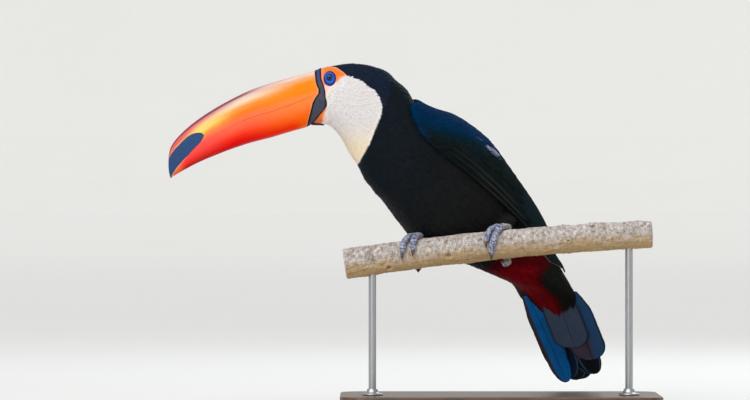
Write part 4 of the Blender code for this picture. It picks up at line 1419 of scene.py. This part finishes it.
feet = {
    # where the toes meet, as x and a turn from the perch's top; each toe's first and last x and turn
    "left": {
        "pad": (6, -40),
        "toes": [(5, -15.5, -30, 74), (10, -10, -36, 119), (11, 2, -50, -168), (6, -4, -52, -128)],
    },
    "right": {
        "pad": (-85, -38),
        "toes": [(-88, -103, -26, 80), (-83, -92, -30, 74), (-80, -86, -48, -150), (-84, -97, -48, -124)],
    },
}
toe = {
    "root": 3.4, "tip": 2.85, "shank": 3.6, "scute": 3.3, "relief": 0.6, "clearance": 0.65, "claw": 8.0,
    "clawRadius": 1.8, "hang": 3.4, "loop": 6.0, "rows": 110,
}


def toePath(x0, x1, turn0, turn1, radius, count):
    # round the branch: x eases from x0 to x1 as a sine, the turn from the top grows evenly, at the toe's
    # radius off the bark
    t = np.linspace(0, 1, count)
    x = x0 + (x1 - x0) * np.sin(t * math.pi / 2)
    turn = np.radians(turn0 + (turn1 - turn0) * t)
    off = perchRadius(x) + radius + toe["clearance"]
    return perchCentre(x) + np.stack([0 * x, -np.sin(turn) * off, np.cos(turn) * off], -1)


def footPaint():
    # pale plates on the toes' outer side with dark seams, and small cells below
    paint = Paint("footSkin")
    seam, outer = paint.values("seam outer")
    grain = paint.noise(paint.place(), 0.55, 3, 0.6)
    place = {"Vector": paint.place(), "Scale": 0.95}
    cells = paint.node("ShaderNodeTexVoronoi", {"feature": "DISTANCE_TO_EDGE"}, place)
    plate = paint.mix(grain.between(0.38, 0.62), (90, 98, 130), (178, 182, 202))
    sole = paint.mix(cells.between(0.02, 0.1), (96, 92, 100), (164, 152, 146))
    base = paint.mix(outer.between(0.2, 0.6), sole, plate)
    base = paint.mix(seam.between(0.1, 0.8) * outer.between(0.1, 0.5) * 0.9, base, (48, 48, 70))
    bump = paint.bump(cells.between(0.0, 0.16) * 0.6 + grain * 0.4, 0.5, 0.25)
    return paint.finish(Base_Color=base, Roughness=0.5 + grain * 0.2, Normal=bump, Specular_IOR_Level=0.4)


def clawPaint():
    # horn that darkens towards the point
    paint = Paint("clawHorn")
    run, turn = paint.values("run turn")
    grain = paint.noise(paint.vector(run * 3, turn * 8), 2.0, 3)
    base = paint.mix((run + (grain - 0.5) * 0.4).between(0.1, 0.9), (84, 70, 58), (34, 29, 29))
    rough, bump = 0.3 + grain * 0.2, paint.bump(grain, 0.3, 0.2)
    return paint.finish(Base_Color=base, Roughness=rough, Normal=bump, Specular_IOR_Level=0.5, Coat_Weight=0.15)


def scaled(path, radii, around, start, side, first=0.0):
    # a tube whose outer side carries overlapping plates: each one's height climbs, and drops at its end
    rings = sweep(path, around, radii, start=start)
    run = np.concatenate([[0], np.cumsum(np.linalg.norm(np.diff(path, axis=0), axis=-1))])
    uneven = 0.22 * np.sin(run * 0.9 + 9 * first) + 0.14 * np.sin(run * 2.1 + 5 * first)
    skewed = 0.12 * np.sin(np.linspace(0, 6 * math.pi, around))[None, :]
    phase = np.mod((run / toe["scute"] + first + uneven)[:, None] + skewed, 1)
    away = unit(rings - path[:, None])
    outer = np.einsum("ijk,ik->ij", away, side)
    shown = smooth(0.0, 0.4, outer)
    plate = (smooth(0, 0.2, phase) * (1 - smooth(0.82, 1.0, phase))) * shown
    pads = 0.35 * np.abs(np.sin(run / 5.2 * math.pi))[:, None] * smooth(0.1, 0.8, -outer)
    knuckle = 0.28 * bell(np.mod(run, 9.5) - 4.7, 1.6)[:, None]
    grown = toe["relief"] * (plate - 0.6) + pads + knuckle
    return rings + grown[..., None] * away, 1 - plate / np.maximum(shown, 0.05), outer


def makeClaw(side, number, path, paint):
    # from the toe's end: ahead by L t (1 - 0.15 t) and in towards the bark by 0.3 L t^2 - 0.5 t, thinning as
    # 1 - 0.9 t^1.2
    ahead = unit(path[-1] - path[-2])
    inward = unit(np.cross(np.cross(ahead, path[-2] - path[-3]), ahead) + 1e-9)
    inward = -inward if inward @ (perchCentre(path[-1][0]) - path[-1]) < 0 else inward
    t = np.linspace(-0.12, 1, 34)
    length = toe["claw"]
    start = path[-1] + ahead * 0.4
    onward = np.outer(length * t * (1 - 0.15 * t), ahead)
    course = start + onward + np.outer(0.3 * length * t * np.abs(t) - 0.5 * t, inward)
    radii = toe["clawRadius"] * (1 - 0.9 * np.clip(t, 0, 1) ** 1.2)
    rings = sweep(course, 22, radii * 1.08, radii * 0.86, (1, 0, 0))
    values = onRings(rings, run=t[:, None], turn=np.sin(np.linspace(0, 2 * math.pi, 22))[None, :])
    place = "%s_%d" % (side, number)
    pieceOf("horn_" + place, closedTube(rings), paint, ("claw_" + place,), values)


def makeFeet():
    # each foot is one piece: a shank, a sole, and four toes round the perch
    paint, horn = footPaint(), clawPaint()
    for side, plan in feet.items():
        padX, padTurn = plan["pad"]
        pad = toePath(padX, padX, padTurn, padTurn, toe["root"], 2)[0]
        heel = pad + np.array([3, 15, 4])
        t = np.linspace(-0.08, 1, 70)
        path = pad + np.outer(t, heel - pad)
        front = np.broadcast_to(unit(np.array([-0.5, -0.25, 1.0])), path.shape)
        thick = np.interp(t, (-0.08, 0, 1), (2.2, 3.2, toe["shank"]))
        tubes = [scaled(path, thick, 36, (0, 0, 1), front)]
        # the sole, a low round cushion where the toes meet
        turn, rise = turns(40)[None, :], np.linspace(0.05, math.pi - 0.05, 22)[:, None]
        wide, deep = 5.2 * np.sin(rise) * np.cos(turn), 4.6 * np.sin(rise) * np.sin(turn)
        ball = np.stack([wide, deep, 2.9 * np.cos(rise) + 0 * turn], -1)
        ball = clearOfPerch(pad + np.array([0.4, 1.5, -0.4]) + ball, 0.25)
        tubes.append((ball, np.full(ball.shape[:2], 0.2), np.full(ball.shape[:2], 0.3)))
        count = toe["rows"]
        spread = np.linspace(toe["root"], toe["tip"], count)
        fromEnd = np.minimum(np.arange(count) + 1.5, (count - np.arange(count)) + 0.5)
        ends = np.minimum(1, np.sqrt(np.clip(fromEnd / 7, 0, 1)))
        for number, (x0, x1, turn0, turn1) in enumerate(plan["toes"], 1):
            path = toePath(x0, x1, turn0, turn1, spread, count)
            away = unit((path - perchCentre(path[:, 0])) * (0, 1, 1))
            if (side, number) == ("left", 3):  # this hind toe hangs in a loop under the branch
                path = path + toe["hang"] * bell(np.linspace(turn0, turn1, count) + 152, 22)[:, None] * away
                path[:, 0] += toe["loop"] * bell(np.linspace(0, 1, count) - 0.82, 0.13)
            tubes.append(scaled(path, (spread + 0.05) * ends, 34, (1, 0, 0), away, 0.3 * number))
            end = toePath(x0, x1, turn0, turn1, np.linspace(toe["root"], toe["tip"], 8), 8)
            makeClaw(side, number, end, horn)
        values = {
            "seam": np.concatenate([withPoles(np.clip(seam, 0, 1)) for rings, seam, outer in tubes]),
            "outer": np.concatenate([withPoles(outer) for rings, seam, outer in tubes]),
        }
        shape = joined([closedTube(rings) for rings, seam, outer in tubes])
        pieceOf("foot_skin_" + side, shape, paint, ("foot_" + side,), values)
    report("feet and claws made")


bark = {
    "rows": 470, "around": 190, "cap": 22,
    "knots": (  # x, turn and size
        (-55, 1.9, 4.2), (-40, 4.3, 5.0), (96, 0.6, 5.2), (38, 2.6, 2.6), (-118, 2.3, 3.6), (-20, 1.0, 2.2),
        (126, 3.6, 3.4), (70, 1.7, 1.8),
    ),
}


def barkPaint():
    # grey bark with lichen, tanner below, dark in the cracks; ringed wood where it is cut
    paint = Paint("bark")
    high, cut, ring, under = paint.values("high cut ringed under")
    coarse = paint.noise(paint.place(), 0.06, 3, 0.6)
    fine = paint.noise(paint.place((1, 0.7, 0.7)), 0.8, 5, 0.65)
    speck = paint.noise(paint.place((1, 0.8, 0.8)), 0.7, 2, 0.5)
    lichen = paint.noise(paint.place(), 0.11, 4, 0.6)
    wrinkle = paint.noise(paint.place((1.3, 0.3, 0.3)), 0.9, 3, 0.6)
    mottle = paint.noise(paint.place((1, 0.7, 0.7)), 0.26, 3, 0.55)
    base = paint.ramp(
        mottle * 0.42 + fine * 0.3 + wrinkle * 0.18 + coarse * 0.1,
        (0.37, 96, 82, 76), (0.45, 154, 142, 130), (0.53, 188, 180, 174), (0.62, 222, 216, 220),
    )
    base = paint.mix(lichen.between(0.5, 0.66) * 0.4, base, (196, 194, 200))
    base = paint.mix((under + (coarse - 0.5) * 0.8).between(0.22, 1.0) * 0.8, base, (178, 144, 88))
    base = paint.mix(high.between(-0.25, -0.7) * 0.55, base, (96, 76, 62))
    base = paint.mix(speck.between(0.62, 0.7) * 0.6, base, (92, 72, 62))
    base = paint.mix((fine + coarse * 0.3).between(0.78, 0.86) * 0.4, base, (226, 220, 212))
    rings = paint.noise(paint.vector(ring), 5.0, 2)
    wood = paint.mix(rings.between(0.35, 0.65), (196, 160, 116), (150, 108, 70))
    base = paint.mix(cut, base, wood)
    bump = paint.bump(fine * 0.5 + wrinkle * 0.5, 0.6, 0.6)
    rough = 0.78 + (fine - 0.5) * 0.2
    return paint.finish(Base_Color=base, Roughness=rough, Normal=bump, Specular_IOR_Level=0.25)


def barkHeight(run, turn):
    # three sizes of lumps, less two sorts of cracks, plus low scars; then each knot's ring, hollow, ripples
    run, turn = np.broadcast_arrays(run, turn)
    circle = np.stack([run, 14 * np.cos(turn), 14 * np.sin(turn)], -1)

    def rough(along, across, seed):
        return roughness(circle * (along, across, across), 1.0, seed)

    high = 0.5 * rough(0.09, 0.35, 7) + 0.28 * rough(0.3, 1.1, 8) + 0.13 * rough(0.9, 2.4, 9)
    crack = -0.28 * smooth(0.5, 0.85, rough(0.3, 0.6, 12)) * smooth(0, 0.5, roughness(circle, 9.0, 13))
    crack = crack - 0.14 * smooth(0.3, 0.8, rough(1.1, 0.2, 14))
    high = high + crack + 0.45 * smooth(0.55, 0.85, rough(0.75, 0.3, 10))
    for knotX, knotTurn, size in bark["knots"]:
        gap = np.hypot((run - knotX) / 1.15, 14.5 * (np.mod(turn - knotTurn + math.pi, 2 * math.pi) - math.pi))
        ripple = 0.12 * np.sin(gap * 3.2) * bell(gap, size * 1.6)
        high = high + 0.75 * bell(gap - size, size * 0.42) - 1.15 * bell(gap, size * 0.62) + ripple
    return high


def makePerch():
    # rings round the bent middle line, raised and sunk by the bark's height, closed by sawn ends
    rows, around, cap = bark["rows"], bark["around"], bark["cap"]
    x = np.linspace(perch["from"], perch["to"], rows)
    run, turn = x[:, None], turns(around)[None, :]
    high = barkHeight(run, turn)
    edge = np.minimum(run - perch["from"], perch["to"] - run)
    radius = perchRadius(x)[:, None] + high * smooth(-0.5, 2.0, edge) - 0.9 * (1 - smooth(0, 1.4, edge)) ** 2
    # the side under the feet stays where the toes expect it
    fromFeet = smooth(22, 34, np.minimum(np.abs(run - 6), np.abs(run + 85)))
    away = fromFeet * np.maximum(smooth(0.3, -0.3, np.cos(turn)), smooth(84, 94, np.abs(run + 40)))
    radius = np.minimum(radius + 0.5 * high * away, perchRadius(x)[:, None] + 0.55 + 1.1 * away)
    centre = perchCentre(x)
    rings = sweep(centre, around, radius)
    share = np.linspace(1, 0.03, cap)[1:]

    def sawn(index, direction):
        flat = centre[index] + (rings[index] - centre[index])[None] * share[:, None, None]
        ripple = 0.18 * np.sin(share * 46) * (share < 0.93)
        return flat + (direction * (0.05 + ripple) * 0.5)[:, None, None] * np.array([1.0, 0, 0])

    def ended(grid, value):  # with the value over both sawn ends
        ends = np.broadcast_to(np.reshape(value, (-1, 1)), (cap - 1, around))
        return np.concatenate([ends[::-1], np.broadcast_to(grid, (rows, around)), ends])

    rear, front = sawn(0, -1), sawn(-1, 1)
    rings = np.concatenate([rear[::-1], rings, front])
    under = ended(0.25 - 0.8 * np.cos(turn + 0.35), 0.5)
    values = onRings(rings, high=ended(high, 0.0), cut=ended(0.0, 1.0), ringed=ended(1.0, share), under=under)
    pieceOf("perch_branch", closedTube(rings), barkPaint(), ("perch",), values)
    report("perch made")


stand = {
    "length": 336, "depth": 196, "thick": 15, "corner": 26,
    "collar": (  # radius and height round a rod's foot
        (4.1, 15.0), (10.5, 15.02), (11, 15.4), (11, 16.6), (10.4, 17.3), (7.2, 17.9), (6.2, 19.2),
        (5.6, 21.2),
        (5.0, 22.0), (4.1, 22.1),
    ),
}


def woodPaint():
    # long grain with darker pores
    paint = Paint("baseWood")
    grain = paint.noise(paint.place((0.16, 1, 1)), 0.22, 5, 0.62)
    pore = paint.noise(paint.place((0.08, 1, 1)), 1.4, 2)
    base = paint.ramp(grain, (0.3, 52, 34, 24), (0.5, 84, 56, 38), (0.68, 110, 76, 52))
    base = paint.mix(pore.between(0.58, 0.68) * 0.55, base, (36, 24, 18))
    rough, bump = 0.36 + grain * 0.15, paint.bump(pore * 0.6 + grain * 0.4, 0.15, 0.3)
    return paint.finish(Base_Color=base, Roughness=rough, Normal=bump, Coat_Weight=0.25, Coat_Roughness=0.25)


def steelPaint():
    # fine brushing round the rods
    paint = Paint("brushedSteel")
    brushed = paint.noise(paint.place((1, 1, 0.03)), 3.0, 3)
    base = paint.mix(brushed, (150, 151, 154), (196, 197, 199))
    rough, bump = 0.26 + brushed * 0.18, paint.bump(brushed, 0.12, 0.1)
    return paint.finish(Base_Color=base, Roughness=rough, Metallic=1.0, Normal=bump)


def makeStand():
    # the base: a rounded rectangle carried through a profile of (inset, height) pairs
    wood = woodPaint()
    outline, normal = [], []
    corner, thick = stand["corner"], stand["thick"]
    inner = np.array([stand["length"] / 2 - corner, stand["depth"] / 2 - corner])
    for quarter, signs in enumerate(((1, 1), (-1, 1), (-1, -1), (1, -1))):
        a = np.radians(np.linspace(0, 90, 25) + 90 * quarter)
        normal.append(np.stack([np.cos(a), np.sin(a)], -1))
        outline.append(signs * inner + corner * normal[-1])
    outline, normal = np.concatenate(outline), np.concatenate(normal)
    turn = np.radians(np.linspace(0, 90, 9))
    inset = np.concatenate([[40, 1.2, 0.35, 0], 2.0 - 2.0 * np.cos(turn), [2.6, 6.0, 12.0, 24.0]])
    height = np.concatenate([[0, 0, 0.35, 1.2], thick - 2.0 + 2.0 * np.sin(turn), [thick] * 4])
    rings = [np.insert(outline - normal * i, 2, h, axis=1) for i, h in zip(inset, height)]
    pieceOf("base_board", closedTube(np.stack(rings)), wood, ("stand_base",))
    metal = steelPaint()
    lathe = np.array(stand["collar"])
    circle = np.stack([np.cos(turns(64)), np.sin(turns(64)), np.zeros(64)], -1)
    for side in ("left", "right"):
        low, high = (np.array(corner) * 1000 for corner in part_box("stand_rod_" + side))
        middle, tall = (low + high) / 2, high[2] - low[2]
        z = np.concatenate([[0, 0.4], np.linspace(0.8, tall - 0.8, 20), [tall - 0.4, tall]])
        radius = np.interp(z, (0, 0.8, tall - 0.8, tall), (3.2, 4, 4, 3.2))
        path = np.stack([np.full_like(z, middle[0]), np.full_like(z, middle[1]), low[2] + z], -1)
        rod = closedTube(sweep(path, 48, radius, start=(1, 0, 0)))
        pieceOf("rod_" + side, rod, metal, ("stand_rod_" + side,))
        # a turned collar round the rod's foot
        path = np.stack([np.full(len(lathe), middle[0]), np.full(len(lathe), middle[1]), lathe[:, 1]], -1)
        points = (path[:, None] + lathe[:, :1, None] * circle[None]).reshape(-1, 3)
        faces = outward(points, [gridFaces(len(lathe), 64, torus=True)])
        ring = pieceOf("rod_collar_" + side, (points, faces), metal)
        ring.modifiers.new("edge", "BEVEL").width = 0.15 * mm
    report("stand made")


studio = {
    "camera": (-0.13125, -6.0, 0.219), "lens": 36 / 2 / (0.39375 / 6), "world": (240, 244, 250),
    "worldStrength": 0.62,
    "floor": ((228, 227, 223), (230, 229, 226)),
    "sun": ((-0.45, -0.75, 1.35), 1.5, 55, (1.0, 0.98, 0.95)),  # where from, strength, angle, colour
    # place, aim, size, watts, colour
    "lights": {
        "key": ((-1.3, -2.0, 1.5), (-0.08, 0, 0.25), 0.45, 9, (1.0, 0.98, 0.95)),
        "rear": ((0.9, 1.6, 1.7), (0, 0, 0.2), 1.0, 14, (0.86, 0.94, 1.0)),
        "fill": ((-0.8, -2.4, 0.35), (-0.2, 0, 0.28), 1.4, 7, (1.0, 0.98, 0.96)),
    },
}


def makeFloor():
    # a round floor that curves up far away, all the way round
    around = 96
    flat = [(out, 0) for out in np.linspace(0.02, 14, 20)]
    curved = [(14 + 5 * math.sin(a), 5 - 5 * math.cos(a)) for a in np.radians(np.linspace(5, 90, 18))]
    profile, turn = np.array(flat + curved), turns(around)
    x, y, z = profile[:, :1] * np.cos(turn), profile[:, :1] * np.sin(turn), profile[:, 1:] + 0 * turn - 0.0002
    rings = np.stack([x, y, z], -1) * 1000
    points = np.concatenate([rings.reshape(-1, 3), [[0, 0, -0.2]]]) * mm
    fan = [((n + 1) % around, n, len(points) - 1) for n in range(around)]
    paint = Paint("paleFloor")
    base = paint.mix(paint.noise(paint.place(), 0.002, 2), *studio["floor"])
    mesh = bpy.data.meshes.new("floor")
    mesh.from_pydata(points.tolist(), [], gridFaces(len(profile), around, True)[:, ::-1].tolist() + fan)
    mesh.materials.append(paint.finish(Base_Color=base, Roughness=0.85, Specular_IOR_Level=0.2))
    floor = link("floor", mesh)
    floor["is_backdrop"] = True


def makeStudio():
    # the camera, the floor, an even sky, one broad sun and three area lamps
    view = bpy.data.cameras.new("view")
    view.lens, view.sensor_width = studio["lens"], 36
    view.clip_end = 60
    camera = link("view", view)
    camera.location, camera.rotation_euler = studio["camera"], (math.pi / 2, 0, 0)
    bpy.context.scene.camera = camera
    makeFloor()
    world = bpy.data.worlds.new("studio")
    world.use_nodes = True
    sky = world.node_tree.nodes["Background"]
    sky.inputs["Color"].default_value = tint(*studio["world"])
    sky.inputs["Strength"].default_value = studio["worldStrength"]
    bpy.context.scene.world = world
    place, strength, angle, colour = studio["sun"]
    lamp = bpy.data.lights.new("sun", "SUN")
    lamp.energy, lamp.angle, lamp.color = strength, math.radians(angle), colour
    link("sun", lamp).rotation_euler = Vector(place).to_track_quat("Z", "Y").to_euler()
    for name, (place, aim, size, watts, colour) in studio["lights"].items():
        lamp = bpy.data.lights.new(name, "AREA")
        lamp.size, lamp.energy, lamp.color = size, watts, colour
        made = link(name, lamp)
        made.location = place
        made.rotation_euler = (Vector(aim) - Vector(place)).to_track_quat("-Z", "Y").to_euler()
    bpy.context.scene.view_settings.view_transform = "Standard"
    report("studio ready")


makeStudio()
shape, values, uv = skinShape()
covered = ("head", "neck", "trunk", "tail_base", "thigh_left", "thigh_right")
pieceOf("skin", shape, skinPaint(), covered, values, uv)
report("skin made")
layCoat()
layWings()
layTail()
makeBill()
makeEyes()
makeFeet()
makePerch()
makeStand()

lookLow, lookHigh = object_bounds()
report("%.1f x %.1f x %.1f mm" % tuple(1000 * (h - l) for l, h in zip(lookLow, lookHigh)))
